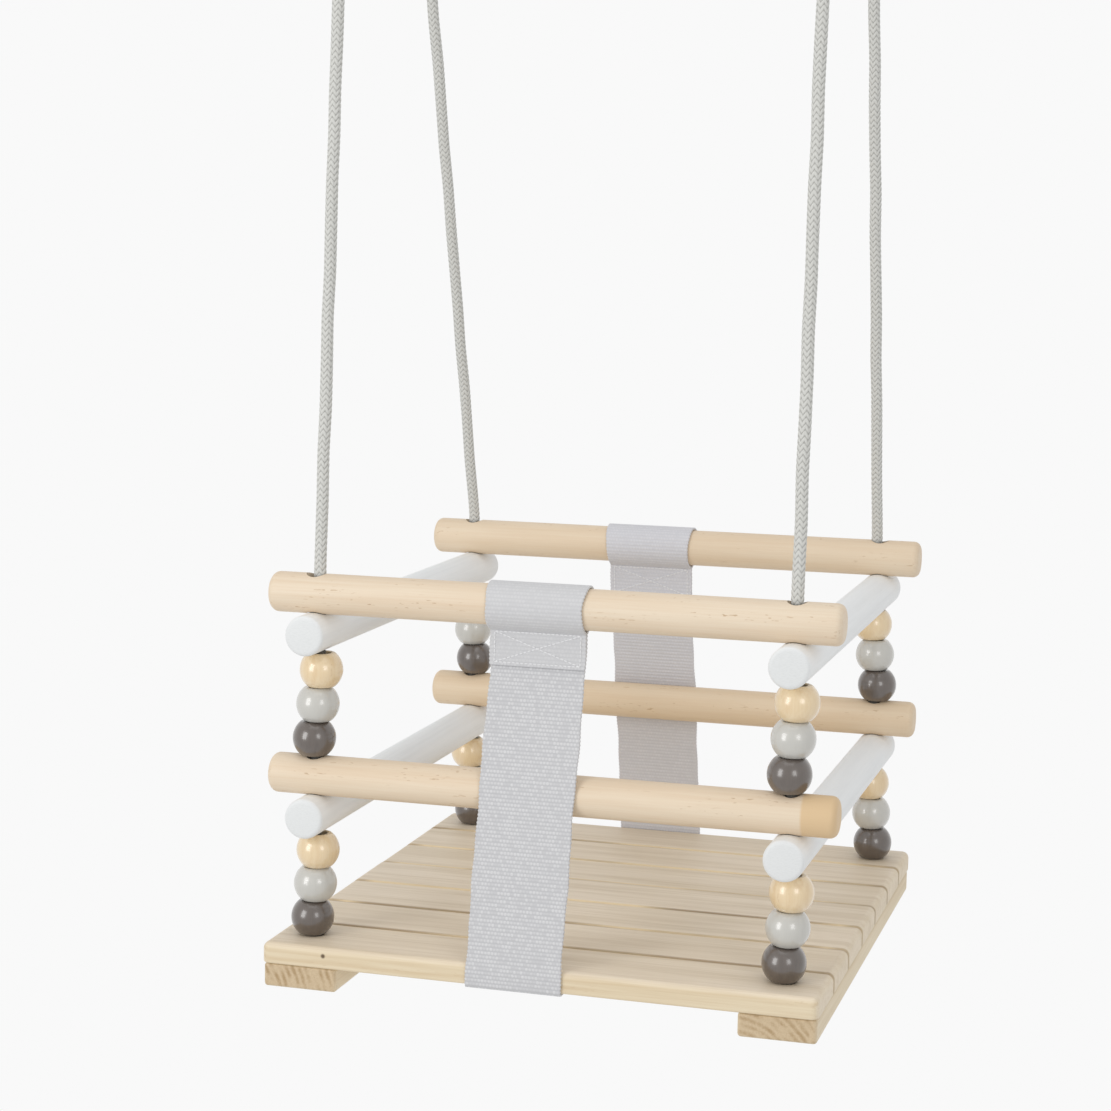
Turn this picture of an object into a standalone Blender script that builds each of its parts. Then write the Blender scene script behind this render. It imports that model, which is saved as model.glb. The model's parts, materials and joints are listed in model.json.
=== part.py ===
"""Wooden toddler swing: a slatted seat in a cage of rods and beads threaded on four ropes.

Metres, +Z up. The origin is the hanging point, midway between the two steel rings, where a pair of
hooks would bear. The seat hangs below it, tipped back as the rope lengths set it. In the seat's own
frame X runs left to right, Y front to back, and Z = 0 is the top of the slats.
"""

import math

import bmesh
import bpy
from mathutils import Matrix, Vector
from mathutils.geometry import interpolate_bezier

# Fits
GAP = 0.0003

# Ropes
ROPE_DIAMETER = 0.007
ROPE_HOLE_DIAMETER = 0.012

# Rods: four of plain beech from left to right, four painted white from front to back
ROD_DIAMETER = 0.024
BEECH_ROD_LENGTH = 0.3415
BEECH_HOLE_INSET = 0.02725
WHITE_ROD_LENGTH = 0.340
WHITE_HOLE_INSET = 0.021
BEECH_END_ROUND = 0.0045
WHITE_END_ROUND = 0.0025

# Beads, three finishes from the bottom of each stack to its top
BEAD_FINISHES = ("dark", "grey", "natural")
BEAD_DIAMETER = 0.0258
BEAD_HEIGHT = 0.0204
BEAD_BORE = 0.011
BEAD_PLAY = 0.0016

# Seat
SLAT_COUNT = 7
SEAT_MARGIN = 0.0266
SLAT_GAP = 0.0012
SLAT_THICKNESS = 0.0130
SLAT_EDGE_ROUND = 0.0042
SLAT_SEAM_ROUND = 0.0014
SLAT_LOWER_ROUND = 0.0012
SLAT_OVERHANG = 0.0008
BATTEN_WIDTH = 0.0455
BATTEN_THICKNESS = 0.0142
BATTEN_INSET = 0.0015
BATTEN_EDGE_ROUND = 0.0015

# Stopper knots in the battens' pockets
STOPPER_DIAMETER = 0.021
POCKET_CLEARANCE = 0.0015

# Webbing strap
STRAP_WIDTH = 0.058
STRAP_THICKNESS = 0.0018
STRAP_OFFSET = -0.0105
STRAP_LEAN = math.radians(1.2)
STRAP_THROAT = 0.004
STRAP_TAIL = 0.016

# Hanging gear
RING_DIAMETER = 0.060
RING_WIRE = 0.007
HANG_HEIGHT = 0.955
HANG_FORWARD = 0.078
BALANCE_HEIGHT = 0.051
EYE_SLACK = 0.0006
LOOP_KNOT_DIAMETER = 0.020
LOOP_KNOT_LENGTH = 0.026
LOOP_KNOT_CLEARANCE = 0.003
KNOT_SHOULDER = 0.45

# Facets
ROD_SEGMENTS = 20
HOLE_SEGMENTS = 12
BEAD_STEPS = 12
BEAD_ARC_STEPS = 4
KNOT_STEPS = 12
RING_SEGMENTS = 24
RING_WIRE_SEGMENTS = 8
ROPE_RESOLUTION = 2
ROPE_BEND_POINTS = 5
LOOP_ARC_STEPS = 8
SEWN_LOOP_STEPS = 14
STRAP_ARC_STEP = math.radians(30)

# Derived sizes
ROD_RADIUS = ROD_DIAMETER / 2
ROPE_RADIUS = ROPE_DIAMETER / 2
HOLE_RADIUS = ROPE_HOLE_DIAMETER / 2
ROPE_PLAY = HOLE_RADIUS - ROPE_RADIUS - GAP
ROPE_SPACING_X = BEECH_ROD_LENGTH - 2 * BEECH_HOLE_INSET
ROPE_SPACING_Y = WHITE_ROD_LENGTH - 2 * WHITE_HOLE_INSET
COLUMN_X = ROPE_SPACING_X / 2
COLUMN_Y = ROPE_SPACING_Y / 2
SEAT_FRONT = COLUMN_Y + SEAT_MARGIN
SLAT_PITCH = (2 * SEAT_FRONT + SLAT_GAP) / SLAT_COUNT
SLAT_WIDTH = SLAT_PITCH - SLAT_GAP
SLAT_LENGTH = ROPE_SPACING_X + BATTEN_WIDTH + 2 * SLAT_OVERHANG
BATTEN_LENGTH = 2 * (SEAT_FRONT - BATTEN_INSET)
BATTEN_TOP = -SLAT_THICKNESS - GAP
BATTEN_BOTTOM = BATTEN_TOP - BATTEN_THICKNESS
STOPPER_HEIGHT = BATTEN_THICKNESS - GAP
POCKET_RADIUS = STOPPER_DIAMETER / 2 + POCKET_CLEARANCE

# Two crossing rods settle until the rims of their rope holes meet
CROSSING = 2 * math.sqrt(ROD_RADIUS**2 - HOLE_RADIUS**2 / 2) + GAP
STACK_HEIGHT = len(BEAD_FINISHES) * (BEAD_HEIGHT + GAP)
LOWER_WHITE_Z = STACK_HEIGHT + GAP + ROD_RADIUS
LOWER_BEECH_Z = LOWER_WHITE_Z + CROSSING
UPPER_STACK_Z = LOWER_BEECH_Z + ROD_RADIUS
UPPER_WHITE_Z = UPPER_STACK_Z + STACK_HEIGHT + GAP + ROD_RADIUS
UPPER_BEECH_Z = UPPER_WHITE_Z + CROSSING
CAGE_TOP = UPPER_BEECH_Z + ROD_RADIUS

# The seat tips until its centre of mass hangs plumb below the rings
SEAT_TILT = math.atan2(HANG_FORWARD, HANG_HEIGHT - BALANCE_HEIGHT)
RING_RADIUS = (RING_DIAMETER - RING_WIRE) / 2
RING_CENTRE_Z = RING_WIRE / 2 - RING_RADIUS
PIVOT_Z = RING_CENTRE_Z - RING_RADIUS

SIDES = (("left", -1), ("right", 1))
ENDS = (("front", -1), ("back", 1))


def clear_scene():
    for old in list(bpy.data.objects):
        bpy.data.objects.remove(old, do_unlink=True)


def new_collection(name):
    collection = bpy.data.collections.new(name)
    bpy.context.scene.collection.children.link(collection)
    return collection


def new_material(name, colour, roughness, metallic=0.0):
    material = bpy.data.materials.new(name)
    material.use_nodes = True
    shader = material.node_tree.nodes["Principled BSDF"]
    shader.inputs["Base Color"].default_value = (*colour, 1.0)
    shader.inputs["Roughness"].default_value = roughness
    shader.inputs["Metallic"].default_value = metallic
    return material


def new_empty(name, location, tilt=0.0, parent=None):
    empty = bpy.data.objects.new(name, None)
    empty.location = location
    empty.rotation_euler.x = tilt
    empty.parent = parent
    parts.objects.link(empty)
    return empty


def add_part(name, data, material, parent, location=(0, 0, 0), rotation=(0, 0, 0)):
    part = bpy.data.objects.new(name, data)
    part.location = location
    part.rotation_euler = rotation
    part.parent = parent
    if not data.materials:
        data.materials.append(material)
    parts.objects.link(part)
    return part


def add_cutter(name, data, parent, location=(0, 0, 0), rotation=(0, 0, 0)):
    cutter = bpy.data.objects.new(name, data)
    cutter.location = location
    cutter.rotation_euler = rotation
    cutter.parent = parent
    cutter.hide_render = True
    cutter.display_type = "WIRE"
    cutters.objects.link(cutter)
    return cutter


def add_boolean(part, other, operation="DIFFERENCE"):
    modifier = part.modifiers.new(operation.title(), "BOOLEAN")
    modifier.operation = operation
    modifier.object = other
    modifier.solver = "EXACT"


def add_screw(part, steps):
    modifier = part.modifiers.new("Turn", "SCREW")
    modifier.steps = steps
    modifier.render_steps = steps
    modifier.use_merge_vertices = True
    modifier.merge_threshold = 0.00001


def mesh_from(bm, name, smooth_angle=35.0):
    mesh = bpy.data.meshes.new(name)
    bm.to_mesh(mesh)
    bm.free()
    mesh.shade_smooth()
    mesh.set_sharp_from_angle(angle=math.radians(smooth_angle))
    return mesh


def profile_mesh(name, points, closed):
    """A profile of (radius, height) points in the XZ plane, ready to be turned about Z."""
    bm = bmesh.new()
    verts = [bm.verts.new((radius, 0.0, height)) for radius, height in points]
    for first, second in zip(verts, verts[1:]):
        bm.edges.new((first, second))
    if closed:
        bm.edges.new((verts[-1], verts[0]))
    return mesh_from(bm, name)


def arc(centre, radius, start, end, steps):
    """Points on an arc from the start angle to the end angle, both included."""
    angles = [start + (end - start) * i / max(steps, 1) for i in range(steps + 1)]
    return [(centre[0] + radius * math.cos(a), centre[1] + radius * math.sin(a)) for a in angles]


def cylinders_mesh(name, places, radius, low, high):
    """Upright cylinders at the given places, as one cutter."""
    bm = bmesh.new()
    for x, y in places:
        matrix = Matrix.Translation((x, y, (low + high) / 2))
        bmesh.ops.create_cone(
            bm,
            cap_ends=True,
            segments=HOLE_SEGMENTS,
            radius1=radius,
            radius2=radius,
            depth=high - low,
            matrix=matrix,
        )
    return mesh_from(bm, name)


def edges_in_plane(bm, axis, level):
    return [e for e in bm.edges if all(abs(v.co[axis] - level) < 1e-6 for v in e.verts)]


def round_edges(bm, edges, width, segments):
    bmesh.ops.bevel(
        bm,
        geom=edges,
        offset=width,
        affect="EDGES",
        segments=segments,
        profile=0.5,
        material=-1,
        clamp_overlap=True,
    )


def board_mesh(name, size, upper_round, lower_round, seams=(), seam_round=0.0):
    """A board centred on its own origin, its upper edges rounded more than its lower ones.

    A long side that meets another board, at -1 or 1, has only the small round of a seam.
    """
    bm = bmesh.new()
    bmesh.ops.create_cube(bm, size=1.0, matrix=Matrix.Diagonal((*size, 1.0)))
    bottom, top = -size[2] / 2, size[2] / 2
    seam_edges = {e for side in seams for e in edges_in_plane(bm, 1, side * size[1] / 2)}
    round_edges(bm, [e for e in edges_in_plane(bm, 2, top) if e not in seam_edges], upper_round, 3)
    for side in seams:
        below = set(edges_in_plane(bm, 2, bottom))
        along_seam = [e for e in edges_in_plane(bm, 1, side * size[1] / 2) if e not in below]
        round_edges(bm, along_seam, seam_round, 2)
    round_edges(bm, edges_in_plane(bm, 2, bottom), lower_round, 1)
    return mesh_from(bm, name)


def rod_mesh(name, length, axis):
    """A round rod centred on its own origin, lying along X or Y."""
    turn = Matrix.Rotation(math.pi / 2, 4, "Y" if axis == "X" else "X")
    bm = bmesh.new()
    bmesh.ops.create_cone(
        bm,
        cap_ends=True,
        segments=ROD_SEGMENTS,
        radius1=ROD_RADIUS,
        radius2=ROD_RADIUS,
        depth=length,
        matrix=turn,
    )
    return mesh_from(bm, name)


def add_rods(name, axis, length, end_round, material, places):
    mesh = rod_mesh(name, length, axis)
    for place, location in places:
        rod = add_part(f"{name}_{place}", mesh, material, seat, location)
        bevel = rod.modifiers.new("Rounded ends", "BEVEL")
        bevel.width = end_round
        bevel.segments = 2
        bevel.limit_method = "ANGLE"
        bevel.angle_limit = math.radians(40)
        add_boolean(rod, rope_holes)


def bead_profile():
    """Sphere with flattened ends and a wide bore, run down its outer side and up the bore."""
    outer = BEAD_DIAMETER / 2
    half = BEAD_HEIGHT / 2
    latitude = math.asin(half / outer)
    side = arc((0, 0), outer, latitude, -latitude, BEAD_ARC_STEPS)
    return side + [(BEAD_BORE / 2, -half), (BEAD_BORE / 2, half)]


def rope_rest(x_sign, y_sign):
    """The front left and back right ropes lie against the inner side of their upper holes."""
    return -x_sign * ROPE_PLAY if x_sign == y_sign else 0.0


def rope_x(x_sign, y_sign, height):
    """A rope runs plumb to the lower beech rod, then across to where it rests in the upper rods."""
    share = (height - LOWER_BEECH_Z) / (UPPER_WHITE_Z - LOWER_BEECH_Z)
    return x_sign * COLUMN_X + rope_rest(x_sign, y_sign) * min(max(share, 0.0), 1.0)


def add_bead_stack(end, y_sign, side, x_sign, tier, base):
    """One stack of beads on one rope. Front and back stacks lean opposite ways, by the play in the bore."""
    middle = (len(BEAD_FINISHES) - 1) / 2
    for index, finish in enumerate(BEAD_FINISHES):
        lean = -y_sign * BEAD_PLAY * (index - middle)
        height = base + GAP + BEAD_HEIGHT / 2 + index * (BEAD_HEIGHT + GAP)
        bead = add_part(
            f"bead_{end}_{side}_{tier}_{finish}",
            bead_meshes[finish],
            None,
            seat,
            (rope_x(x_sign, y_sign, height) + lean, y_sign * COLUMN_Y, height),
        )
        add_screw(bead, BEAD_STEPS)


def add_slat(number):
    y = (number - (SLAT_COUNT + 1) / 2) * SLAT_PITCH
    size = (SLAT_LENGTH, SLAT_WIDTH, SLAT_THICKNESS)
    seams = [side for side in (-1, 1) if 1 <= number + side <= SLAT_COUNT]
    mesh = board_mesh(f"slat_{number}", size, SLAT_EDGE_ROUND, SLAT_LOWER_ROUND, seams, SLAT_SEAM_ROUND)
    slat = add_part(f"slat_{number}", mesh, slat_wood, seat, (0, y, -SLAT_THICKNESS / 2))
    if number in (1, SLAT_COUNT):
        add_boolean(slat, rope_holes)


def add_batten(side, x_sign):
    size = (BATTEN_WIDTH, BATTEN_LENGTH, BATTEN_THICKNESS)
    mesh = board_mesh(f"batten_{side}", size, BATTEN_EDGE_ROUND, BATTEN_EDGE_ROUND)
    height = (BATTEN_TOP + BATTEN_BOTTOM) / 2
    batten = add_part(f"batten_{side}", mesh, slat_wood, seat, (x_sign * COLUMN_X, 0, height))
    add_boolean(batten, knot_pockets)


def knot_profile(diameter, length):
    """Barrel of a tightened knot, from its top down its outer side."""
    radius = diameter / 2
    shoulder = radius * KNOT_SHOULDER
    top = arc((radius - shoulder, length / 2 - shoulder), shoulder, math.pi / 2, 0, 2)
    bottom = arc((radius - shoulder, shoulder - length / 2), shoulder, 0, -math.pi / 2, 2)
    return [(0, length / 2)] + top + bottom + [(0, -length / 2)]


def leg_angle(y_sign):
    """Lean of a rope's free leg about X, between its hole in the upper rod and the ring."""
    return math.atan2(y_sign * COLUMN_Y + HANG_FORWARD, HANG_HEIGHT - CAGE_TOP)


def eye_length():
    """From the ring's wire to the loop's knot: the front and back knots hang clear of each other."""
    spread = math.sin(leg_angle(1)) - math.sin(leg_angle(-1))
    return (LOOP_KNOT_DIAMETER + LOOP_KNOT_CLEARANCE) / spread


def eye_x(x_sign, y_sign):
    """The front and back loops lie side by side on the ring's wire."""
    return x_sign * COLUMN_X + y_sign * (ROPE_RADIUS + GAP)


def rope_curve(name, points):
    curve = bpy.data.curves.new(name, "CURVE")
    curve.dimensions = "3D"
    curve.bevel_depth = ROPE_RADIUS
    curve.bevel_resolution = ROPE_RESOLUTION
    curve.use_fill_caps = True
    spline = curve.splines.new("POLY")
    spline.points.add(len(points) - 1)
    for place, point in zip(spline.points, points):
        place.co = (*point, 1.0)
    return curve


def leg_point(x_sign, y_sign, down):
    """A point on a rope's free leg, so far down from the ring's wire."""
    lean = leg_angle(y_sign)
    across = math.sin(lean) * down - HANG_FORWARD
    return Vector((eye_x(x_sign, y_sign), across, HANG_HEIGHT - math.cos(lean) * down))


def add_rope(end, y_sign, side, x_sign):
    """One rope from its stopper knot up through seat, beads and rods, then straight to its loop's knot."""
    y = y_sign * COLUMN_Y
    heights = (-SLAT_THICKNESS, LOWER_WHITE_Z, LOWER_BEECH_Z, UPPER_WHITE_Z)
    upright = [Vector((rope_x(x_sign, y_sign, height), y, height)) for height in heights]
    knot_end = leg_point(x_sign, y_sign, eye_length() + LOOP_KNOT_LENGTH + GAP)
    corner = Vector((rope_x(x_sign, y_sign, CAGE_TOP), y, CAGE_TOP + ROPE_RADIUS))
    start = corner - Vector((0, 0, ROPE_DIAMETER))
    end_of_bend = corner + (knot_end - corner).normalized() * 2 * ROPE_DIAMETER
    bend = interpolate_bezier(start, corner, corner, end_of_bend, ROPE_BEND_POINTS)
    free = [end_of_bend.lerp(knot_end, share) for share in (0.25, 0.5, 0.75, 1.0)]
    name = f"rope_{end}_{side}"
    add_part(name, rope_curve(name, upright + bend + free), rope_cord, seat)


def add_loop(end, y_sign, side, x_sign):
    """The rope's upper end: a loop round the ring's wire, closed by a barrel knot."""
    name = f"loop_knot_{end}_{side}"
    radius = RING_WIRE / 2 + EYE_SLACK + ROPE_RADIUS
    low = eye_length() + LOOP_KNOT_LENGTH / 3
    flare = math.asin((radius - ROPE_RADIUS) / low)
    turn = arc((0, 0), radius, -flare, math.pi + flare, LOOP_ARC_STEPS)
    route = [(ROPE_RADIUS, -low)] + turn + [(-ROPE_RADIUS, -low)]
    place = (eye_x(x_sign, y_sign), -HANG_FORWARD, HANG_HEIGHT)
    lean = (leg_angle(y_sign), 0, 0)
    tube = welded_mesh(rope_curve(f"{name}_strands", [(0, across, up) for across, up in route]))
    strands = add_cutter(tube.name, tube, seat, place, lean)
    barrel = profile_mesh(name, knot_profile(LOOP_KNOT_DIAMETER, LOOP_KNOT_LENGTH), closed=False)
    barrel.transform(Matrix.Translation((0, 0, -eye_length() - LOOP_KNOT_LENGTH / 2)))
    knot = add_part(name, barrel, rope_cord, seat, place, lean)
    add_screw(knot, KNOT_STEPS)
    add_boolean(knot, strands, "UNION")


def welded_mesh(curve):
    """A curve's solid as one welded mesh."""
    guide = bpy.data.objects.new(curve.name, curve)
    cutters.objects.link(guide)
    bpy.context.view_layer.update()
    solid = guide.evaluated_get(bpy.context.evaluated_depsgraph_get())
    bm = bmesh.new()
    bm.from_mesh(solid.to_mesh())
    bpy.data.objects.remove(guide, do_unlink=True)
    bmesh.ops.remove_doubles(bm, verts=bm.verts, dist=1e-6)
    bmesh.ops.recalc_face_normals(bm, faces=bm.faces)
    return mesh_from(bm, curve.name)


def add_stopper(end, y_sign, side, x_sign):
    name = f"stopper_knot_{end}_{side}"
    barrel = profile_mesh(name, knot_profile(STOPPER_DIAMETER, STOPPER_HEIGHT), closed=False)
    place = (x_sign * COLUMN_X, y_sign * COLUMN_Y, BATTEN_TOP - STOPPER_HEIGHT / 2)
    add_screw(add_part(name, barrel, rope_cord, seat, place), KNOT_STEPS)


def add_ring(side, x_sign):
    bpy.ops.mesh.primitive_torus_add(
        major_segments=RING_SEGMENTS,
        minor_segments=RING_WIRE_SEGMENTS,
        major_radius=RING_RADIUS,
        minor_radius=RING_WIRE / 2,
    )
    ring = bpy.context.object
    mesh = ring.data
    bpy.data.objects.remove(ring, do_unlink=True)
    mesh.name = f"ring_{side}"
    mesh.shade_smooth()
    place = (x_sign * COLUMN_X, 0, RING_CENTRE_Z)
    add_part(f"ring_{side}", mesh, steel, None, place, (math.pi / 2, 0, 0))


def heading(first, second):
    """Direction of a strap that leaves one round and reaches the next, both on its left."""
    (c1, r1), (c2, r2) = first, second
    across, up = c2[0] - c1[0], c2[1] - c1[1]
    return math.atan2(up, across) - math.asin((r2 - r1) / math.hypot(across, up))


def wrap(rounds, offset):
    """Points of a strap drawn tight round a row of rounds, from the first one to the last."""
    turns = [heading(a, b) for a, b in zip(rounds, rounds[1:])]
    headings = [turns[0]] + turns + [turns[-1]]
    points = []
    for (centre, radius), arrive, leave in zip(rounds, headings, headings[1:]):
        steps = math.ceil(abs(leave - arrive) / STRAP_ARC_STEP)
        points += arc(centre, radius + offset, arrive - math.pi / 2, leave - math.pi / 2, steps)
    return points


def strap_rounds():
    """What the strap bears on: lower rods and the edges of the first and last slat, front half first."""
    rod = ROD_RADIUS + GAP
    upper = SLAT_EDGE_ROUND + GAP
    lower = SLAT_LOWER_ROUND + GAP
    front = [
        ((-COLUMN_Y + STRAP_THICKNESS, strap_tail_z()), 0.0),
        ((-COLUMN_Y, LOWER_BEECH_Z), rod),
        ((-SEAT_FRONT + SLAT_EDGE_ROUND, -SLAT_EDGE_ROUND), upper),
        ((-SEAT_FRONT + SLAT_LOWER_ROUND, SLAT_LOWER_ROUND - SLAT_THICKNESS), lower),
    ]
    back = [((-centre[0], centre[1]), radius) for centre, radius in reversed(front)]
    return front + back


def strap_throat_z():
    return UPPER_BEECH_Z - ROD_RADIUS - GAP - STRAP_THROAT


def strap_tail_z():
    return strap_throat_z() - STRAP_TAIL


def over_rod(centre_y, radius, half_width):
    """Front-to-back arc over an upper rod, met by straight runs from the two sides of the throat."""
    drop = UPPER_BEECH_Z - strap_throat_z()
    reach = math.hypot(half_width, drop)
    foot = math.atan2(-drop, half_width)
    tangent = foot + math.acos(radius / reach)
    half_step = (math.pi / 2 - tangent) / SEWN_LOOP_STEPS
    around = radius / math.cos(half_step)
    return arc((centre_y, UPPER_BEECH_Z), around, math.pi - tangent, tangent, SEWN_LOOP_STEPS)


def strap_outline():
    """Side view of the strap in the YZ plane: its outer outline and the hole of each sewn loop."""
    thick = STRAP_THICKNESS
    throat, tail = strap_throat_z(), strap_tail_z()
    inner = ROD_RADIUS + GAP
    rounds = strap_rounds()
    front, back = -COLUMN_Y, COLUMN_Y
    outline = [(front - thick, tail), (front - thick, throat)]
    outline += over_rod(front, inner + thick, thick)
    outline += [(front + thick, throat)] + wrap(rounds, 0.0) + [(back - thick, throat)]
    outline += over_rod(back, inner + thick, thick)
    outline += [(back + thick, throat), (back + thick, tail)]
    outline += list(reversed(wrap(rounds, thick)))
    holes = [[(y, throat)] + over_rod(y, inner, 0.0) for y in (front, back)]
    return [outline] + holes


def add_strap():
    """The outline drawn out to the webbing's width. Its front and back halves lean opposite ways."""
    curve = bpy.data.curves.new("strap", "CURVE")
    curve.dimensions = "2D"
    curve.fill_mode = "BOTH"
    curve.extrude = STRAP_WIDTH / 2
    for points in strap_outline():
        spline = curve.splines.new("POLY")
        spline.points.add(len(points) - 1)
        for place, (across, up) in zip(spline.points, points):
            place.co = (across, up, 0.0, 1.0)
        spline.use_cyclic_u = True
    mesh = welded_mesh(curve)
    for vert in mesh.vertices:
        vert.co.z -= math.copysign(math.tan(STRAP_LEAN), vert.co.x) * vert.co.y
    add_part("strap", mesh, webbing, seat, (STRAP_OFFSET, 0, 0), (math.pi / 2, 0, math.pi / 2))


clear_scene()
parts = new_collection("toddler_swing")
cutters = new_collection("cutters")

beech = new_material("beech", (0.80, 0.66, 0.47), 0.5)
white_paint = new_material("white_paint", (0.76, 0.78, 0.77), 0.45)
slat_wood = new_material("slat_wood", (0.70, 0.60, 0.47), 0.55)
rope_cord = new_material("rope_cord", (0.58, 0.58, 0.55), 0.85)
webbing = new_material("webbing", (0.60, 0.60, 0.63), 0.9)
steel = new_material("steel", (0.62, 0.63, 0.65), 0.3, 1.0)
bead_finishes = {
    "natural": new_material("natural_bead", (0.78, 0.57, 0.33), 0.25),
    "grey": new_material("grey_bead", (0.55, 0.53, 0.50), 0.25),
    "dark": new_material("dark_bead", (0.13, 0.10, 0.09), 0.25),
}
bead_meshes = {}
for finish, lacquer in bead_finishes.items():
    bead_meshes[finish] = profile_mesh(f"bead_{finish}", bead_profile(), closed=True)
    bead_meshes[finish].materials.append(lacquer)

pivot = new_empty("swing_pivot", (0, 0, PIVOT_Z), -SEAT_TILT)
seat = new_empty("seat_frame", (0, HANG_FORWARD, -HANG_HEIGHT), parent=pivot)

columns = [(x * COLUMN_X, y * COLUMN_Y) for _, x in SIDES for _, y in ENDS]
rope_holes = add_cutter(
    "rope_holes",
    cylinders_mesh("rope_holes", columns, HOLE_RADIUS, -2 * SLAT_THICKNESS, CAGE_TOP + ROD_RADIUS),
    seat,
)
knot_pockets = add_cutter(
    "knot_pockets",
    cylinders_mesh("knot_pockets", columns, POCKET_RADIUS, BATTEN_BOTTOM - BATTEN_THICKNESS, 0),
    seat,
)

for number in range(1, SLAT_COUNT + 1):
    add_slat(number)
for side, x_sign in SIDES:
    add_batten(side, x_sign)

add_rods(
    "beech_rod",
    "X",
    BEECH_ROD_LENGTH,
    BEECH_END_ROUND,
    beech,
    [
        (f"{tier}_{end}", (0, y_sign * COLUMN_Y, height))
        for tier, height in (("lower", LOWER_BEECH_Z), ("upper", UPPER_BEECH_Z))
        for end, y_sign in ENDS
    ],
)
add_rods(
    "white_rod",
    "Y",
    WHITE_ROD_LENGTH,
    WHITE_END_ROUND,
    white_paint,
    [
        (f"{tier}_{side}", (x_sign * COLUMN_X, 0, height))
        for tier, height in (("lower", LOWER_WHITE_Z), ("upper", UPPER_WHITE_Z))
        for side, x_sign in SIDES
    ],
)

for end, y_sign in ENDS:
    for side, x_sign in SIDES:
        add_bead_stack(end, y_sign, side, x_sign, "lower", 0.0)
        add_bead_stack(end, y_sign, side, x_sign, "upper", UPPER_STACK_Z)
        add_stopper(end, y_sign, side, x_sign)
        add_rope(end, y_sign, side, x_sign)
        add_loop(end, y_sign, side, x_sign)

add_strap()
for side, x_sign in SIDES:
    add_ring(side, x_sign)
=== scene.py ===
import bisect
import json
import math

import bmesh
import bpy
from mathutils import Matrix, Vector
from mathutils.geometry import interpolate_bezier


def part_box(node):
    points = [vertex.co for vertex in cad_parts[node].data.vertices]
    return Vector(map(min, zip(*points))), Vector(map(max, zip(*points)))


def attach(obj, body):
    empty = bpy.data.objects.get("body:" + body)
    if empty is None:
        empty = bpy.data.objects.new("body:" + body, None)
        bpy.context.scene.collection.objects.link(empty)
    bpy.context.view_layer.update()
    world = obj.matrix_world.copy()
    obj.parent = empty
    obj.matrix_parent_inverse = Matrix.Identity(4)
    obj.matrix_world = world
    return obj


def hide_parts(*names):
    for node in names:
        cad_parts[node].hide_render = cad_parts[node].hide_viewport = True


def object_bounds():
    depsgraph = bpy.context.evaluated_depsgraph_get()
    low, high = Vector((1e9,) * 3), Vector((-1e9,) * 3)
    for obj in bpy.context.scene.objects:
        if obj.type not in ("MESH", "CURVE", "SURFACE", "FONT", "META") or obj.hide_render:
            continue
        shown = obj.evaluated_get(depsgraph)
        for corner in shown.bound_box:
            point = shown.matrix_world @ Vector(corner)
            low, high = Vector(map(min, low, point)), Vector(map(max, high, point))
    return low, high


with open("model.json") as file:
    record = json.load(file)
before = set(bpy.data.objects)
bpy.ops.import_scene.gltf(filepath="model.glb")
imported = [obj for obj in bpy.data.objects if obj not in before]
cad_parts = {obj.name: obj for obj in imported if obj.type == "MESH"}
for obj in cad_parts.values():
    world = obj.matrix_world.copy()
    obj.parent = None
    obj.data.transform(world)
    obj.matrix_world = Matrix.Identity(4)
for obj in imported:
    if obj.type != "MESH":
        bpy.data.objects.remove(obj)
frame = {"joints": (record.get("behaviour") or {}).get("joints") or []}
cad_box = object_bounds()

# Slats: seven planed softwood boards lie side by side from left to right, with a wide round along
# the seat's upper rim and a small one at each seam. The first and last are drilled for the ropes.
# Each is screwed to the two battens from below, and the tops have gone a little grey. The tops
# are also painted lighter, standing in for light from above, the sawn ends take part of that
# painted light, and the seams carry painted shade of the gaps.
HINGE = Vector(next(joint["pos_m"] for joint in frame["joints"] if joint["name"] == "swing"))
HANG_HEIGHT = 0.955
HANG_FORWARD = 0.078
BALANCE_HEIGHT = 0.051
SEAT_TILT = math.atan2(HANG_FORWARD, HANG_HEIGHT - BALANCE_HEIGHT)
SEAT = (
    Matrix.Translation(HINGE)
    @ Matrix.Rotation(-SEAT_TILT, 4, "X")
    @ Matrix.Translation((0, HANG_FORWARD, -HANG_HEIGHT))
)
SIDES = (("left", -1), ("right", 1))
ENDS = (("front", -1), ("back", 1))
GAP = 0.0003
COLUMN_X = 0.1435
COLUMN_Y = 0.149
ROPE_HOLE = 0.006
ROPE_BIT_ENDS = (-0.05, 0.25)
COLUMN_TO_RIM = 0.0266
SEAT_FRONT = COLUMN_Y + COLUMN_TO_RIM
SLAT_COUNT = 7
SLAT_GAP = 0.0012
SLAT_PITCH = (2 * SEAT_FRONT + SLAT_GAP) / SLAT_COUNT
SEAM_WIDTH = 0.0008
SLAT_SIZE = (0.3341, SLAT_PITCH - SEAM_WIDTH, 0.0130)
PLANING_STEP = 0.00012
SLAT_ROUND = 0.0042
SLAT_CORNER_ROUND = 0.0047
SLAT_SEAM_ROUND = 0.0014
SLAT_LOWER_ROUND = 0.0012
SLAT_HOLE_MARGIN = 0.009
RIM_STRIP = 0.007
# The seam strip and its fades mark where the slats' arrises carry unweathered wood and painted
# shade of the gaps between the slats.
SEAM_STRIP = 0.0028
SEAM_FADE = 0.0020
SEAM_REACH = 0.160
SEAM_END_FADE = 0.0075
SEAM_END_SHARE = 0.35
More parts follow.
